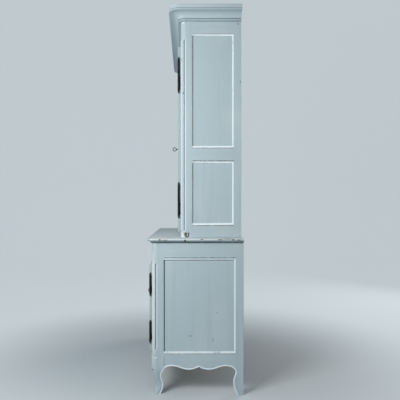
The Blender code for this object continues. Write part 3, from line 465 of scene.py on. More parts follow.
def line_paint(name, worn_to=0.6, from_y=None):
    """White brushed on thinly. Along a line worn by hands, it thins to the rear of from_y."""
    material, shader, place = new_material(name)
    thin = place.noise(THIN_SCALE, 4.0)
    worn = thin.step(0.58, 0.7) * worn_to
    if from_y is not None:
        worn = worn.math("MAXIMUM", worn, place.axis("Y").step(*from_y) * (0.3 + thin * 0.5))
    colour = place.colour(WHITE).tint(PAINT, worn)
    # Painted shade: darker in the quirks, found by ambient occlusion.
    colour = colour.tint(DUST_AND_SHADE, place.corner(QUIRK_REACH).step(0.6, 1.0) * 0.35)
    feed(shader, place, Base_Color=colour, Roughness=0.45 + thin * 0.2)
    return material


white = line_paint("white_line_paint")
worn_white = line_paint("worn_line_paint", worn_to=0.8, from_y=WORN_TO_REAR)
print("white lines:", white.name, worn_white.name)

# %% [markdown]
# Floors and shelves were left as sawn boards and have gone dry and brown. Growth rings are a noise
# drawn out along the board, with fine pores over it and greyer patches. The backs are upright boards
# of one tree each: a whole number for each board shifts its grain and sets its tone.

# %% Bare wood
WOOD_PALE = linear(170, 138, 104)
WOOD_DARK = linear(112, 82, 58)
WOOD_GREY = linear(120, 110, 98)
RINGS = {"x": (0.8, 16.0, 16.0), "z": (16.0, 16.0, 0.8)}
PATCH_SCALE = 2.5
GRAIN_HIGH = 0.0008
PLANK_SHIFT = 7.3               # metres of grain from one board to the next
PLANK_JOINT = 0.006             # how far off the joint between two boards is felt


def grain_of(place, along):
    """The rings and pores of a board, from a place in it."""
    return place.noise(RINGS[along], 5.0, 0.65), place.noise(STROKES[along], 3.0)


def feed_wood(shader, place, colour, rings, pores):
    """Finish a board: colour, roughness and the grain that stands up from it."""
    feed(shader, place, Base_Color=colour, Roughness=0.65 + rings * 0.25,
         Normal=bump(place, rings + pores * 0.5, GRAIN_HIGH, 0.4))


def bare_wood(name):
    """Boards that run across the buffet."""
    material, shader, place = new_material(name)
    rings, pores = grain_of(place, "x")
    patch = place.noise(PATCH_SCALE)
    colour = place.colour(WOOD_PALE).tint(WOOD_DARK, rings.step(0.35, 0.7) * 0.7)
    colour = colour.tint(WOOD_DARK, pores.step(0.55, 0.7) * 0.5)
    colour = colour.tint(WOOD_GREY, patch.step(0.5, 0.75) * 0.4)
    feed_wood(shader, place, colour, rings, pores)
    return material


def plank_wood(name, low, wide):
    """Upright boards, the first one starting at x = low, with dark joints."""
    material, shader, place = new_material(name)
    plank = place.math("FLOOR", (place.axis("X") - low) * (1 / wide))
    chance = place.add("ShaderNodeTexWhiteNoise", {"W": plank}, {"noise_dimensions": "1D"})
    shift = place.add("ShaderNodeCombineXYZ", {"Z": plank * PLANK_SHIFT})
    moved = place.add("ShaderNodeVectorMath", {0: place, 1: shift}, {"operation": "ADD"})
    rings, pores = grain_of(moved, "z")
    colour = place.colour(WOOD_PALE).tint(WOOD_DARK, rings.step(0.35, 0.7) * 0.6 + chance * 0.4)
    colour = colour.tint(WOOD_DARK, pores.step(0.55, 0.7) * 0.5)
    colour = colour.tint(DUST_AND_SHADE, place.corner(PLANK_JOINT).step(0.1, 0.5) * 0.8)
    feed_wood(shader, place, colour, rings, pores)
    return material


board_wood = bare_wood("bare_wood_x")
print("wood:", board_wood.name)

# %% [markdown]
# Hinges are blackened iron, keys and bolts dull steel. Neither is a clean metal: pits and clouds of
# rust vary its colour, its shine and how metallic it is.

# %% Metals
PIT_SCALE = 160.0
RUST_SCALE = 30.0
PIT_DEEP = 0.0003
DULL = 0.6                      # roughness where there are no pits


def metal(name, bright, dark):
    """Forged metal of a bright and a dark tone."""
    material, shader, place = new_material(name)
    pits = place.noise(PIT_SCALE)
    cloud = place.noise(RUST_SCALE)
    colour = place.colour(bright).tint(dark, pits.step(0.45, 0.65) * 0.6 + cloud.step(0.5, 0.7) * 0.4)
    feed(shader, place, Base_Color=colour, Roughness=DULL + pits * 0.25,
         Metallic=0.55 + cloud.step(0.6, 0.4) * 0.35, Normal=bump(place, pits, PIT_DEEP, 0.3))
    return material


iron = metal("dark_iron", linear(44, 45, 47), linear(24, 22, 21))
steel = metal("worn_steel", linear(46, 45, 44), linear(22, 20, 19))
print("metals:", iron.name, steel.name)

# %% [markdown]
# A CAD piece arrives as loose triangles with knife-sharp edges. Real joinery is eased with a plane or
# sandpaper, and that soft edge catches light. Each wooden piece is therefore copied, its triangles
# merged back into whole faces, and its long sharp edges bevelled where there is room.

# %% Merging and easing
WELD = 0.00002                  # corners this near are one
FLAT = radians(0.2)             # faces that turn less than this are one
SHARP = radians(50)             # edges that turn more than this are eased
EASE_ROOM = 4                   # widths of bevel that fit the shortest edge at its ends
NEAR = 0.0001                   # points this near lie on one face


def merged(name):
    """A CAD piece as one clean mesh: shared corners, whole flat faces."""
    bm = bmesh.new()
    bm.from_mesh(nodes[name].data)
    bmesh.ops.remove_doubles(bm, verts=bm.verts, dist=WELD)
    bmesh.ops.dissolve_limit(bm, angle_limit=FLAT, verts=bm.verts, edges=bm.edges)
    bmesh.ops.recalc_face_normals(bm, faces=bm.faces)
    return bm


def ease(bm, width, joint=None):
    """Bevel the long sharp edges whose ends have room for it, but none at a glued joint. A joint is the
    y of a face that meets another piece."""
    def roomy(vert):
        return min(edge.calc_length() for edge in vert.link_edges) > EASE_ROOM * width

    def glued(edge):
        return joint is not None and all(abs(v.co.y - joint) < NEAR for v in edge.verts)

    def sharp(edge):
        return edge.is_manifold and edge.is_convex and edge.calc_face_angle() > SHARP

    edges = [edge for edge in bm.edges
             if sharp(edge) and all(roomy(v) for v in edge.verts) and not glued(edge)]
    bmesh.ops.bevel(bm, geom=edges, offset=width, offset_type="OFFSET", segments=2, profile=0.5,
                    affect="EDGES", clamp_overlap=True, material=-1)
    return len(edges)


# %% [markdown]
# A finished mesh becomes a piece: it gets its materials, rides on a body of the CAD frame and, where
# it stands for a CAD node, hides that node.

# %% Finished pieces
SMOOTH = radians(38)            # faces that turn less than this shade as one
body_of = {node: body for body, members in frame["record"]["behaviour"]["bodies"].items()
           for node in members}


def piece(name, bm, materials, body, slot, replaces=()):
    """Turn a mesh into a finished piece that rides on a body."""
    mesh = bpy.data.meshes.new(name)
    bm.to_mesh(mesh)
    bm.free()
    mesh.shade_smooth()
    mesh.set_sharp_from_angle(angle=SMOOTH)
    for material in materials:
        mesh.materials.append(material)
    made = bpy.data.objects.new(name, mesh)
    bpy.context.scene.collection.objects.link(made)
    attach(made, body)
    if replaces:
        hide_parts(*replaces)
    return made


# %% [markdown]
# Most wooden pieces need the same steps. Where the brush turns or a strip of painted shade begins, a
# plane cuts the faces without changing the shape, so each side of the line can take its own paint.

# %% Dressing the wooden pieces
POST_ARRIS = 0.0015             # the eased arris that the posts have in CAD
EASED = 0.0012                  # width of the bevel on wood
ON_PLANE = 0.000001             # corners this near a cut lie on it


def cut(axis, place):
    """A plane square to an axis, as a point on it and its direction."""
    direction = Vector([float(axis == name) for name in "xyz"])
    return direction * place, direction


def fill_joint(bm, joint, flush, shut):
    """Paint fills a glued joint: its eased arris comes out to the face, and its end moves by `shut`."""
    for vert in bm.verts:
        if abs(vert.co.y - joint) < NEAR:
            vert.co.y += shut
            if abs(flush - abs(vert.co.x) - POST_ARRIS) < NEAR:
                vert.co.x = copysign(flush, vert.co.x)


def dress(name, materials, cuts=(), choose=None, width=EASED, slot="grey_blue_paint", joint=None,
          flush=0.0, shut=0.0):
    """An eased copy of a CAD piece. Choose gives the number of a face's material from the middle of the
    face. A glued joint, at y = joint, stays sharp and is filled with paint out to x = flush."""
    bm = merged(name)
    if joint is not None:
        fill_joint(bm, joint, flush, shut)
        joint += shut
    eased = ease(bm, width, joint)
    for point, direction in cuts:
        bmesh.ops.bisect_plane(bm, geom=bm.verts[:] + bm.edges[:] + bm.faces[:], dist=ON_PLANE,
                               plane_co=point, plane_no=direction)
    if choose:
        for face in bm.faces:
            face.material_index = int(choose(face.calc_center_median()))
    made = piece("dressed_" + name, bm, materials, body_of[name], slot, [name])
    flat = made.modifiers.new("flat faces", "WEIGHTED_NORMAL")
    flat.keep_sharp = True
    print("dressed", name, "with", eased, "eased edges")


# %% [markdown]
# A few knocks went through to the wood: they lie on the foot of the upper post, on the edge of the top
# board, on one knee and on the low panel. Elsewhere hands have rubbed the paint pale. The pale spots on
# the knee and down the front of the lower post are painted highlights, and the pale band along the
# edge of the top board is partly wear and partly a painted highlight. Each spot is listed by its place
# on the right-hand side and its half sizes.

# %% Chips, rubs and painted highlights
POST_CHIPS = [(-0.036, 0.968, 0.010, 0.016), (-0.030, 0.9575, 0.014, 0.006),
              (-0.0185, 0.970, 0.005, 0.014), (-0.061, 2.051, 0.003, 0.006),
              (-0.051, 1.840, 0.002, 0.006)]
POST_RUBS = [(-0.060, 0.967, 0.010, 0.020)]
FRAME_CHIPS = [(0.2855, 2.2636, 0.006, 0.003), (0.300, 1.909, 0.003, 0.006)]
TOP_CHIPS = [(-0.192, 0.941, 0.008, 0.005), (-0.165, 0.940, 0.024, 0.002),
             (-0.040, 0.936, 0.007, 0.008), (0.060, 0.945, 0.012, 0.002),
             (0.172, 0.942, 0.016, 0.003), (0.215, 0.946, 0.030, 0.002),
             (0.250, 0.942, 0.014, 0.004), (0.285, 0.941, 0.016, 0.003)]
# partly wear, partly a painted highlight along the lit edge of the top board
TOP_RUBS_AND_HIGHLIGHT = [(0.0, 0.946, 0.45, 0.006)]
KNEE_CHIPS = [(-0.235, 0.152, 0.004, 0.005)]
# painted highlights: on the knee ledge and down the rounded front of the lower post
KNEE_HIGHLIGHTS = [(-0.226, 0.228, 0.020, 0.006), (-0.234, 0.530, 0.012, 0.340)]
PANEL_CHIPS = [(0.154, 0.496, 0.003, 0.003), (-0.010, 0.356, 0.012, 0.002),
               (0.130, 0.332, 0.0015, 0.016)]
FLUTES_TO = {"lower": -0.195, "upper": -0.030}      # the flutes of the posts lie forward of these
NOSE = 0.012                    # how far in the edge of the top board reaches
NOSE_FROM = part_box("lower_top")[1].x - NOSE

chipped = {
    "upper_front_post_R": chalk_paint("grey_blue_post", "z", POST_CHIPS, POST_RUBS,
                                      flutes_to=FLUTES_TO["upper"]),
    "lower_top": chalk_paint("grey_blue_top", "x", TOP_CHIPS, TOP_RUBS_AND_HIGHLIGHT, outer=NOSE_FROM),
    "lower_front_post_R": chalk_paint("grey_blue_knee", "z", KNEE_CHIPS, KNEE_HIGHLIGHTS,
                                      flutes_to=FLUTES_TO["lower"]),
    "upper_side_frame_R": chalk_paint("grey_blue_frame", "z", FRAME_CHIPS),
    "lower_side_panel_R": chalk_paint("grey_blue_panel", "z", PANEL_CHIPS)}
fluted = {unit: chalk_paint("grey_blue_flutes_" + unit, "z", flutes_to=y)
          for unit, y in FLUTES_TO.items()}
print("worn pieces:", ", ".join(chipped))

# %% [markdown]
# On the rails of the sides the white strays past some mouldings, and beyond it a dark line is painted
# where the shadow of the moulding falls. Both are strips that reach from one distance to another,
# counted from the outline of a panel. A chooser then says which paint a face takes: the rear post is
# brushed upright and the rails across.

# %% Strips on the side frames
STRAY_BELOW = {"lower_side_panel_": (0.0, 0.004), "upper_tall_panel_": (0.0, 0.003),
               "upper_short_panel_": (0.0, 0.005)}
# strips of painted shade below and above the panels
SHADE_BELOW = {"lower_side_panel_": (0.004, 0.007), "upper_tall_panel_": (0.003, 0.0065),
              "upper_short_panel_": (0.005, 0.009)}
STRAY_ABOVE = {"upper_short_panel_": (0.0, 0.0015)}
SHADE_ABOVE = {"lower_side_panel_": (0.0045, 0.0075), "upper_tall_panel_": (0.0005, 0.002),
              "upper_short_panel_": (0.0015, 0.0065)}
FACE_DEEP = 0.002               # the strips lie no deeper than this in the face of the frame
ON_POST, ON_RAIL, ON_SHADE, ON_STRAY = range(4)      # numbers of the side frames' materials


def strips_beside(kind, panel):
    """The strips below and above a panel, as (bottom, top, material number)."""
    low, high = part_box(panel)
    strips = []
    for number, below, above in ((ON_SHADE, SHADE_BELOW, SHADE_ABOVE),
                                 (ON_STRAY, STRAY_BELOW, STRAY_ABOVE)):
        if kind in below:
            start, end = below[kind]
            strips.append((low.z - end, low.z - start, number))
        if kind in above:
            start, end = above[kind]
            strips.append((high.z + start, high.z + end, number))
    return strips


def side_paint(rear, outside, strips):
    """A chooser for a side frame whose rear post starts at y = rear."""
    def choose(middle):
        if middle.y > rear:
            return ON_POST
        found = [number for bottom, top, number in strips if bottom < middle.z < top]
        return found[0] if found and abs(middle.x) > outside else ON_RAIL
    return choose


# %% [markdown]
# Each side is a rounded front post, a frame of a rear post with rails, and the panels in its grooves.
# Post and rails are glued, so the joint between them is filled and stays sharp. Shade is painted on
# the panels beside the posts and, low down, under the upper moulding.

# %% Sides
UNITS = ("lower", "upper")
SIDES = {"R": 1, "L": -1}       # label and direction along x
CLEARANCE = 0.0003              # between touching pieces
FILL = -0.0004                  # how far the rails reach forward to close that gap
GROOVE = 0.008                  # how far a panel reaches past its sight edge
SHADE_STRIP = {"lower": 0.004, "upper": 0.001}      # painted shade on the panels beside the posts
SHADE_TOP = {"lower": 0.0035, "upper": 0.0}         # and under their upper mouldings

for unit in UNITS:
    kinds = [kind for kind in SHADE_BELOW if kind.startswith(unit)]
    for label in SIDES:
        side_frame = "%s_side_frame_%s" % (unit, label)
        post = "%s_front_post_%s" % (unit, label)
        panels = [kind + label for kind in kinds]
        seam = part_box(side_frame)[0].y
        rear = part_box(panels[-1])[1].y
        side_face = max(abs(end.x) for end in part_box(side_frame))
        strips = [strip for kind in kinds for strip in strips_beside(kind, kind + label)]
        levels = sorted({z for bottom, top, number in strips for z in (bottom, top)})
        dress(post, [chipped.get(post, fluted[unit])], joint=seam - CLEARANCE, flush=side_face)
        dress(side_frame, [chipped.get(side_frame, paints["z"]), paints["y"], shade_line, white],
              [cut("y", rear)] + [cut("z", z) for z in levels],
              side_paint(rear, side_face - FACE_DEEP, strips), joint=seam, flush=side_face, shut=FILL)
        for panel in panels:
            low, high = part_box(panel)
            strip_to = low.y + GROOVE + SHADE_STRIP[unit]
            strip_from = high.z - GROOVE - SHADE_TOP[unit]
            # Painted shade on the panel beside the post and under its upper moulding.
            dress(panel, [chipped.get(panel, paints["z"]), painted_shade],
                  [cut("y", strip_to), cut("z", strip_from)],
                  lambda middle, y=strip_to, z=strip_from: middle.y < y or middle.z > z)

# %% [markdown]
# The front rails and the cornice are brushed along their length, so the paint of the cornice turns at
# its corners. The face of the top board is paler than the rest, partly worn paint and partly painted
# light, and the hollow under its edge is painted dark as shade.

# %% Rails, top board and cornice
PAINT_PALE = linear(208, 220, 221)
HOLLOW = (0.0045, 0.0125)       # heights of the hollow over the underside of the top board
for name in ("lower_front_apron", "lower_front_frieze", "upper_front_rail", "upper_front_frieze"):
    dress(name, [paints["x"]])

board_low, board_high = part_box("lower_top")
# paler paint on the upward face: partly worn paint, partly painted light
top_face = chalk_paint("grey_blue_top_face", "x", base=PAINT_PALE)


def board_paint(middle):
    """The paint of the top board: 2, paler, on its face, 1, painted shade, in the hollow, 0 elsewhere."""
    if middle.z > board_high.z - NEAR:
        return 2
    return HOLLOW[0] < middle.z - board_low.z < HOLLOW[1]


dress("lower_top", [chipped["lower_top"], painted_shade, top_face], choose=board_paint)
post_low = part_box("upper_front_post_R")[0]
dress("cornice", [paints["x"], paints["y"]], [cut("y", post_low.y)],
      lambda middle: abs(middle.x) > post_low.x and middle.y > post_low.y)

# %% [markdown]
# Nobody painted what isn't seen. The backs are upright planks, and the floors, the shelves and the
# ceiling are boards that run across.

# %% Backs and boards
BACK_PLANKS = 6
for name in ("lower_back", "upper_back"):
    low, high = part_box(name)
    planks = plank_wood("planks_of_" + name, low.x, (high.x - low.x) / BACK_PLANKS)
    dress(name, [planks], slot="bare_wood")
for name in ("lower_floor", "lower_shelf", "upper_floor", "upper_ceiling", "upper_shelf_1",
             "upper_shelf_2"):
    dress(name, [board_wood], slot="bare_wood")

# %% [markdown]
# The doors are frames too: upright stiles, and rails between them. The shaped top rail follows the
# arch, and the panel inside has a raised field. The outer edges of the doors are painted duller.

# %% Doors
DOOR_EDGE = 0.002               # depth of the duller edge
dull_edge = chalk_paint("grey_blue_door_edge", "z", base=PAINT_DULL)


def door_paint(left, right, outer):
    """A chooser for a door frame: stiles 0, rails between left and right 1, outer edge 2."""
    return lambda middle: 2 if abs(middle.x) > outer else left < middle.x < right


for unit in UNITS:
    for label in SIDES:
        panel = "%s_door_panel_%s" % (unit, label)
        door_frame = "%s_door_frame_%s" % (unit, label)
        low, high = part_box(panel)
        outer = max(abs(end.x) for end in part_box(door_frame)) - DOOR_EDGE
        dress(door_frame, [paints["z"], paints["x"], dull_edge], [cut("x", low.x), cut("x", high.x)],
              door_paint(low.x, high.x, outer))
        dress(panel, [paints["z"]])

# %% [markdown]
# The mouldings round the side panels aren't white all round. Beside the posts, where they turn from
# the light, they are painted in the colour of the frame as shade, darker deep inside, and along the top
# of the low panels the white is worn, with painted shade deep inside.

# %% Worn and shaded strips of the mouldings
MOULD_TURNED = 0.2          # a strip whose normal leans more than this is turned that way
POST_STRIP = 0.001          # a strip whose middle lies this near the post belongs to it
SHADE_FROM = 0.0028         # painted shade starts this deep in the mouldings next to the posts
LOW_SHADE_FROM = 0.0055          # and this deep along the top of the low panels


def shaded_and_worn_strips(bm, panel, face, out):
    """Painted shade beside the post: frame paint 1, darker 2; along the low tops worn white 3, shade 2."""
    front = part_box(panel)[0].y + POST_STRIP
    for strip in bm.faces:
        middle = strip.calc_center_median()
        deep = face - middle.dot(out)
        # Painted shade: strips beside the post, which turn from the light, lose their white.
        if strip.normal.y > MOULD_TURNED or middle.y < front:
            strip.material_index = 2 if deep > SHADE_FROM else 1
        elif panel.startswith("lower") and strip.normal.z < -MOULD_TURNED:
            strip.material_index = 2 if deep > LOW_SHADE_FROM else 3


# %% [markdown]
# The white mouldings are an ovolo worked on the frames. Each one starts from the panel's own outline,
# hidden in the groove: raised to the face of the frame and inset ring by ring, it runs down the
# quarter-round to the panel and stays true at every mitre. A Solidify modifier gives the skin of
# paint its thickness.

# %% White mouldings
MOULD_WIDE = 0.009          # as on the frames: width, quirk, depth of the round, depth of the panel
MOULD_QUIRK = 0.001
MOULD_DEEP = 0.006
PANEL_SINK = 0.008
MOULD_RINGS = 7
PAINT_LIFT = 0.0002
PAINT_SKIN = 0.0008


def moulding(panel, wood, out):
    """White skin over the moulding round one panel. Out is the way the frame faces."""
    low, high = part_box(wood)
    face = max(low.dot(out), high.dot(out))
    start = asin(1 - GROOVE / MOULD_WIDE)
    turns = [start + (pi / 2 - start) * i / MOULD_RINGS for i in range(MOULD_RINGS + 1)]
    steps = [(MOULD_WIDE * (1 - sin(t)), MOULD_QUIRK + (MOULD_DEEP - MOULD_QUIRK) * (1 - cos(t)))
             for t in turns] + [(-PAINT_LIFT, PANEL_SINK)]

    bm = merged(panel)
    inner = min(bm.faces, key=lambda f: f.normal.dot(out) * f.calc_area())
    bmesh.ops.delete(bm, geom=[f for f in bm.faces if f is not inner], context="FACES")
    bmesh.ops.reverse_faces(bm, faces=[inner])
    rise = face - steps[0][1] + PAINT_LIFT - inner.calc_center_median().dot(out)
    bmesh.ops.translate(bm, verts=bm.verts, vec=out * rise)
    for (wide, deep), (next_wide, next_deep) in zip(steps, steps[1:]):
        bmesh.ops.inset_region(bm, faces=[inner], thickness=wide - next_wide, depth=deep - next_deep,
                               use_even_offset=True, use_boundary=True)
    bmesh.ops.delete(bm, geom=[inner], context="FACES")
    if out.x:
        shaded_and_worn_strips(bm, panel, face, out)
    made = piece("white_" + panel, bm, [white, paints["z"], painted_shade, worn_white], body_of[panel],
                 "grey_blue_paint")
    skin = made.modifiers.new("skin", "SOLIDIFY")
    skin.thickness = PAINT_SKIN
    skin.offset = -1.0
    return len(made.data.polygons)


skin_faces = 0
for label, side in SIDES.items():
    for kind in ("lower_side_panel_", "upper_tall_panel_", "upper_short_panel_"):
        side_frame = "%s_side_frame_%s" % (kind.split("_")[0], label)
        skin_faces += moulding(kind + label, side_frame, Vector((side, 0, 0)))
    for unit in UNITS:
        names = ["%s_door_%s_%s" % (unit, part, label) for part in ("panel", "frame")]
        skin_faces += moulding(*names, Vector((0, -1, 0)))
print("mouldings:", skin_faces, "faces")

# %% [markdown]
# A white bead follows the shaped lower edge, up one foot, along the scallops and down the next. Its
# path is read from the wood, so it can't drift: the outer face of each rail meets its underside along
# it, and on a cabriole foot it is the corner that lies furthest in.

# %% Path of the beads
EDGE_BELOW = 0.20           # the shaped edge lies under this height
EDGE_CLEAR = 0.001          # off the floor, and off the top of a foot
FACES_OUT = 0.99            # a face whose normal lies this near to out is the outer one
TURNS_UNDER = 0.1           # and one this far from it is the underside


def shaped_edge(name, out):
    """Points along the lower edge of a rail, from its forward or left end."""
    bm = merged(name)
    follows = {}
    for edge in bm.edges:
        facing = sorted(face.normal.dot(out) for face in edge.link_faces)
        height = max(vert.co.z for vert in edge.verts)
        if facing[-1] > FACES_OUT and facing[0] < TURNS_UNDER and EDGE_CLEAR < height < EDGE_BELOW:
            for a, b in (edge.verts, reversed(edge.verts)):
                follows.setdefault(a, []).append(b)
    ends = [vert for vert, others in follows.items() if len(others) == 1]
    path = [min(ends, key=lambda v: v.co.x + v.co.y)]
    while True:
        onward = [vert for vert in follows[path[-1]] if vert not in path]
        if not onward:
            break
        path.append(onward[0])
    points = [vert.co.copy() for vert in path]
    bm.free()
    return points


def foot_edge(name, inwards, top):
    """Points on the inner corner of a cabriole foot, from the floor up to a height."""
    levels = {}
    for vert in nodes[name].data.vertices:
        if vert.co.z < top:
            levels.setdefault(round(vert.co.z, 4), []).append(vert.co.copy())
    return [max(levels[z], key=lambda co: co.dot(inwards)) for z in sorted(levels)]


front_path = shaped_edge("lower_front_apron", Vector((0, -1, 0)))
foot_top = front_path[0].z - EDGE_CLEAR
print("front apron:", len(front_path), "points, feet up to", round(foot_top, 3))

# %% [markdown]
# A curve through those points with a round section makes the bead. It is smooth except at the cusps of
# the scallops, and cut off level over the floor.

# %% White beads on the feet and aprons
BEAD = 0.0044               # radius
BEAD_SUNK = 0.0024          # how deep its middle lies in the wood
BEAD_HANGS = 0.0006         # how far it reaches below the edge
BEAD_FOOT = 0.0005          # where it ends over the floor
CUSP = radians(40)


def bead(name, points, out, body):
    """A round bead along a path, smooth except at cusps."""
    curve = bpy.data.curves.new(name, "CURVE")
    curve.dimensions = "3D"
    curve.bevel_depth = BEAD
    curve.bevel_resolution = 3
    curve.resolution_u = 4
    curve.use_fill_caps = True
    spline = curve.splines.new("BEZIER")
    last = len(points) - 1
    spline.bezier_points.add(last)
    for i, (knot, point) in enumerate(zip(spline.bezier_points, points)):
        before, after = points[max(i - 1, 0)], points[min(i + 1, last)]
        up = (after - before).cross(out).normalized()
        knot.co = point - out * BEAD_SUNK + up * (BEAD - BEAD_HANGS)
        sharp = 0 < i < last and (point - before).angle(after - point) > CUSP
        knot.handle_left_type = knot.handle_right_type = "VECTOR" if sharp else "AUTO"
    shape = bpy.data.objects.new(name, curve)
    bpy.context.scene.collection.objects.link(shape)
    bpy.context.view_layer.update()
    bm = bmesh.new()
    bm.from_mesh(shape.evaluated_get(bpy.context.evaluated_depsgraph_get()).to_mesh())
    bpy.data.objects.remove(shape)
    bmesh.ops.remove_doubles(bm, verts=bm.verts, dist=WELD)
    bmesh.ops.bisect_plane(bm, geom=bm.verts[:] + bm.edges[:] + bm.faces[:], dist=ON_PLANE,
                           plane_co=(0, 0, BEAD_FOOT), plane_no=(0, 0, 1), clear_inner=True)
    bmesh.ops.holes_fill(bm, edges=bm.edges, sides=0)
    bmesh.ops.recalc_face_normals(bm, faces=bm.faces)
    piece(name, bm, [white], body, "grey_blue_paint")
    print(name, "through", len(points), "points")


for label, side in SIDES.items():
    out = Vector((side, 0, 0))
    side_path = foot_edge("lower_front_post_" + label, Vector((side, 1, 0)), foot_top)
    side_path += shaped_edge("lower_side_frame_" + label, out)
    if side < 0:
        side_path.reverse()
    bead("white_edge_" + label, side_path, out, "carcass")
feet = {label: foot_edge("lower_front_post_" + label, Vector((-side, -1, 0)), foot_top)
        for label, side in SIDES.items()}
bead("white_edge_front", feet["L"] + front_path + feet["R"][::-1], Vector((0, -1, 0)), "carcass")

# %% [markdown]
# Iron and steel come from the lathe and the forge. A lathe is a spin of half a section about an axis,
# and a forged leaf is a block with all its edges eased.

# %% Turning and forging
FINE_WELD = 0.000005
FORGED = 0.0003             # width of the eased edge on forged blocks


def turned(profile, steps):
    """A profile of (radius, height) turned about the upright axis."""
    bm = bmesh.new()
    verts = [bm.verts.new((radius, 0.0, height)) for radius, height in profile]
    edges = [bm.edges.new(pair) for pair in zip(verts, verts[1:])]
    bmesh.ops.spin(bm, geom=verts + edges, cent=(0, 0, 0), axis=(0, 0, 1), angle=2 * pi,
                   steps=steps, use_merge=True)
    bmesh.ops.remove_doubles(bm, verts=bm.verts, dist=FINE_WELD)
    bmesh.ops.recalc_face_normals(bm, faces=bm.faces)
    return bm


def slab(bm, low, high):
    """Add an eased block to a mesh."""
    made = bmesh.ops.create_cube(bm, size=1.0)["verts"]
    bmesh.ops.scale(bm, verts=made, vec=high - low)
    bmesh.ops.translate(bm, verts=made, vec=(low + high) / 2)
    edges = {edge for vert in made for edge in vert.link_edges}
    bmesh.ops.bevel(bm, geom=list(edges), offset=FORGED, segments=2, profile=0.5, affect="EDGES",
                    material=-1)


# %% [markdown]
# Barrel hinges are turned iron: two barrels on one pin, a ball at each end. The lower barrel stays on
# the post and the upper one turns with the door, each on a leaf let into the wood.

# %% Hinges
BARREL = 0.006              # radius
BARREL_STEPS = 28
# Radius and distance from the tip: the ball with its neck, then a turned groove
BALL = [(0.0, 0.0), (0.0017, 0.0004), (0.0032, 0.0016), (0.0042, 0.0036), (0.0045, 0.0058),
        (0.0041, 0.0080), (0.0031, 0.0097), (0.0027, 0.0110), (0.0030, 0.0120), (0.0046, 0.0124),
        (0.0056, 0.0130), (0.0060, 0.0140)]
RING = [(BARREL, 0.019), (0.0057, 0.0194), (0.0057, 0.0204), (BARREL, 0.0208)]
# Radius and distance back from where the halves meet
MEETING = [(BARREL, 0.0008), (0.0054, 0.0), (0.0031, 0.0), (0.0, 0.0)]
LEAF = 0.002                # thickness
LEAF_FROM_BALL = 0.026      # where a leaf starts and ends along its barrel
LEAF_FROM_MEET = 0.012
LEAF_LAP = 0.004            # how far the leaf of a door reaches past the axis


def barrel(tip, towards, meet):
    """One hinge half, from the ball at its tip to where the halves meet."""
    length = abs(meet - tip)
    profile = BALL + RING + [(radius, length - back) for radius, back in MEETING]
    return turned([(radius, tip + towards * along) for radius, along in profile], BARREL_STEPS)


def hinge_half(node, axis, side, towards, meet):
    """A barrel and its leaf. Towards is 1 for the half on the post and -1 for the one on the door."""
    low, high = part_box(node)
    tip = low.z if towards > 0 else high.z
    bm = barrel(tip, towards, meet)
    bmesh.ops.translate(bm, verts=bm.verts, vec=(axis.x, axis.y, 0))
    bottom, top = sorted((tip + towards * LEAF_FROM_BALL, meet - towards * LEAF_FROM_MEET))
    if towards > 0:
        left, right = axis.x - LEAF / 2, axis.x + LEAF / 2
        front, back = axis.y, high.y
    else:
        left, right = sorted((axis.x - side * LEAF_LAP, low.x if side > 0 else high.x))
        front, back = axis.y - LEAF / 2, axis.y + LEAF / 2
    slab(bm, Vector((left, front, bottom)), Vector((right, back, top)))
    piece("iron_" + node, bm, [iron], body_of[node], "dark_iron", [node])


hinges = 0
for unit in UNITS:
    for label, side in SIDES.items():
        axis = Vector(joints["%s_door_%s_hinge" % (unit, label)]["pos_m"])
        for end in ("lower", "upper"):
            name = "%s_door_%s_hinge_%s" % (unit, end, label)
            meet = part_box(name + "_door_half")[0].z
            hinge_half(name + "_post_half", axis, side, 1, meet)
            hinge_half(name + "_door_half", axis, side, -1, meet)
            hinges += 1
print("hinges:", hinges)

# %% [markdown]
# Each pair of doors has one key. Its bow is a ring of round bar, forged on to a turned shank; the bit at
# the other end throws the bolt. The bow stands upright, square to the door, so the shank is turned
# upright first and laid down, and the ring is a spin of a small circle.

# %% Keys
BOW = 0.0122                # radius of the ring
BOW_WIRE = 0.0024           # radius of its bar
BOW_STEPS = 36
WIRE_STEPS = 14
SHANK = 0.003
SHANK_STEPS = 24
# Radius and distance: back from the end in the lock, out from the door, and in from the bow
SHANK_END = [(0.0, 0.0), (0.0026, 0.0), (SHANK, 0.0005)]
COLLAR = [(SHANK, 0.0025), (0.0038, 0.0028), (0.0045, 0.0042), (0.0045, 0.0066), (0.0038, 0.0080),
          (SHANK, 0.0083)]
BOW_FOOT = [(SHANK, 0.006), (0.0037, 0.004), (0.0037, 0.0025), (SHANK, 0.001), (0.0022, -0.001),
            (0.0, -0.001)]
BIT_HALF = 0.0012           # half the thickness of the bit
BIT_ALONG = (0.0053, 0.0006)    # where it starts and ends, back from the end of the shank
BIT_DOWN = (0.0092, 0.001)      # and down from the axis

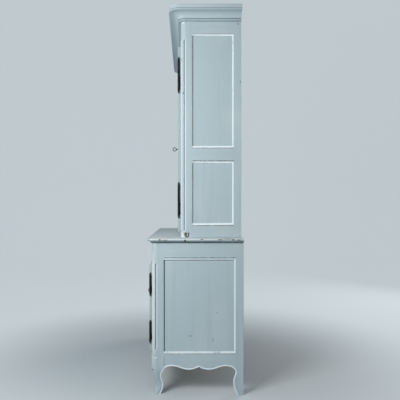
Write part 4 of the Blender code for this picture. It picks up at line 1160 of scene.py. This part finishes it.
for unit in UNITS:
    node = unit + "_key"
    low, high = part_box(node)
    axis = Vector(joints[node + "_turn"]["pos_m"])
    bow = low.y + BOW + BOW_WIRE
    foot = bow + BOW
    profile = [(radius, high.y - back) for radius, back in SHANK_END]
    profile += [(radius, axis.y - outwards) for radius, outwards in COLLAR]
    profile += [(radius, foot + inwards) for radius, inwards in BOW_FOOT]
    bm = turned(profile, SHANK_STEPS)
    bmesh.ops.rotate(bm, verts=bm.verts, cent=(0, 0, 0), matrix=Matrix.Rotation(-pi / 2, 3, "X"))
    ring = bmesh.ops.create_circle(bm, segments=WIRE_STEPS, radius=BOW_WIRE)["verts"]
    bmesh.ops.rotate(bm, verts=ring, cent=(0, 0, 0), matrix=Matrix.Rotation(pi / 2, 3, "X"))
    bmesh.ops.translate(bm, verts=ring, vec=(0, bow, BOW))
    loop = list({edge for vert in ring for edge in vert.link_edges})
    bmesh.ops.spin(bm, geom=ring + loop, cent=(0, bow, 0), axis=(1, 0, 0), angle=2 * pi,
                   steps=BOW_STEPS, use_merge=True)
    slab(bm, Vector((-BIT_HALF, high.y - BIT_ALONG[0], -BIT_DOWN[0])),
         Vector((BIT_HALF, high.y - BIT_ALONG[1], -BIT_DOWN[1])))
    bmesh.ops.translate(bm, verts=bm.verts, vec=(axis.x, 0, axis.z))
    bmesh.ops.remove_doubles(bm, verts=bm.verts, dist=FINE_WELD)
    bmesh.ops.recalc_face_normals(bm, faces=bm.faces)
    piece("steel_" + node, bm, [steel], body_of[node], "worn_steel", [node])
    print(node, "at", [round(v, 3) for v in axis])

# %% [markdown]
# Inside the doors are the lock cases with their bolts, and the slide bolts that hold the left doors.
# They are plain forged blocks, so an eased copy in iron or steel is all they need.

# %% Locks and bolts
BLOCK_EASED = 0.0005
BLOCKS = (("lock_case", iron, "dark_iron"), ("slide_bolt", iron, "dark_iron"),
          ("lock_bolt", steel, "worn_steel"))
for unit in UNITS:
    for name, material, slot in BLOCKS:
        dress("%s_%s" % (unit, name), [material], width=BLOCK_EASED, slot=slot)
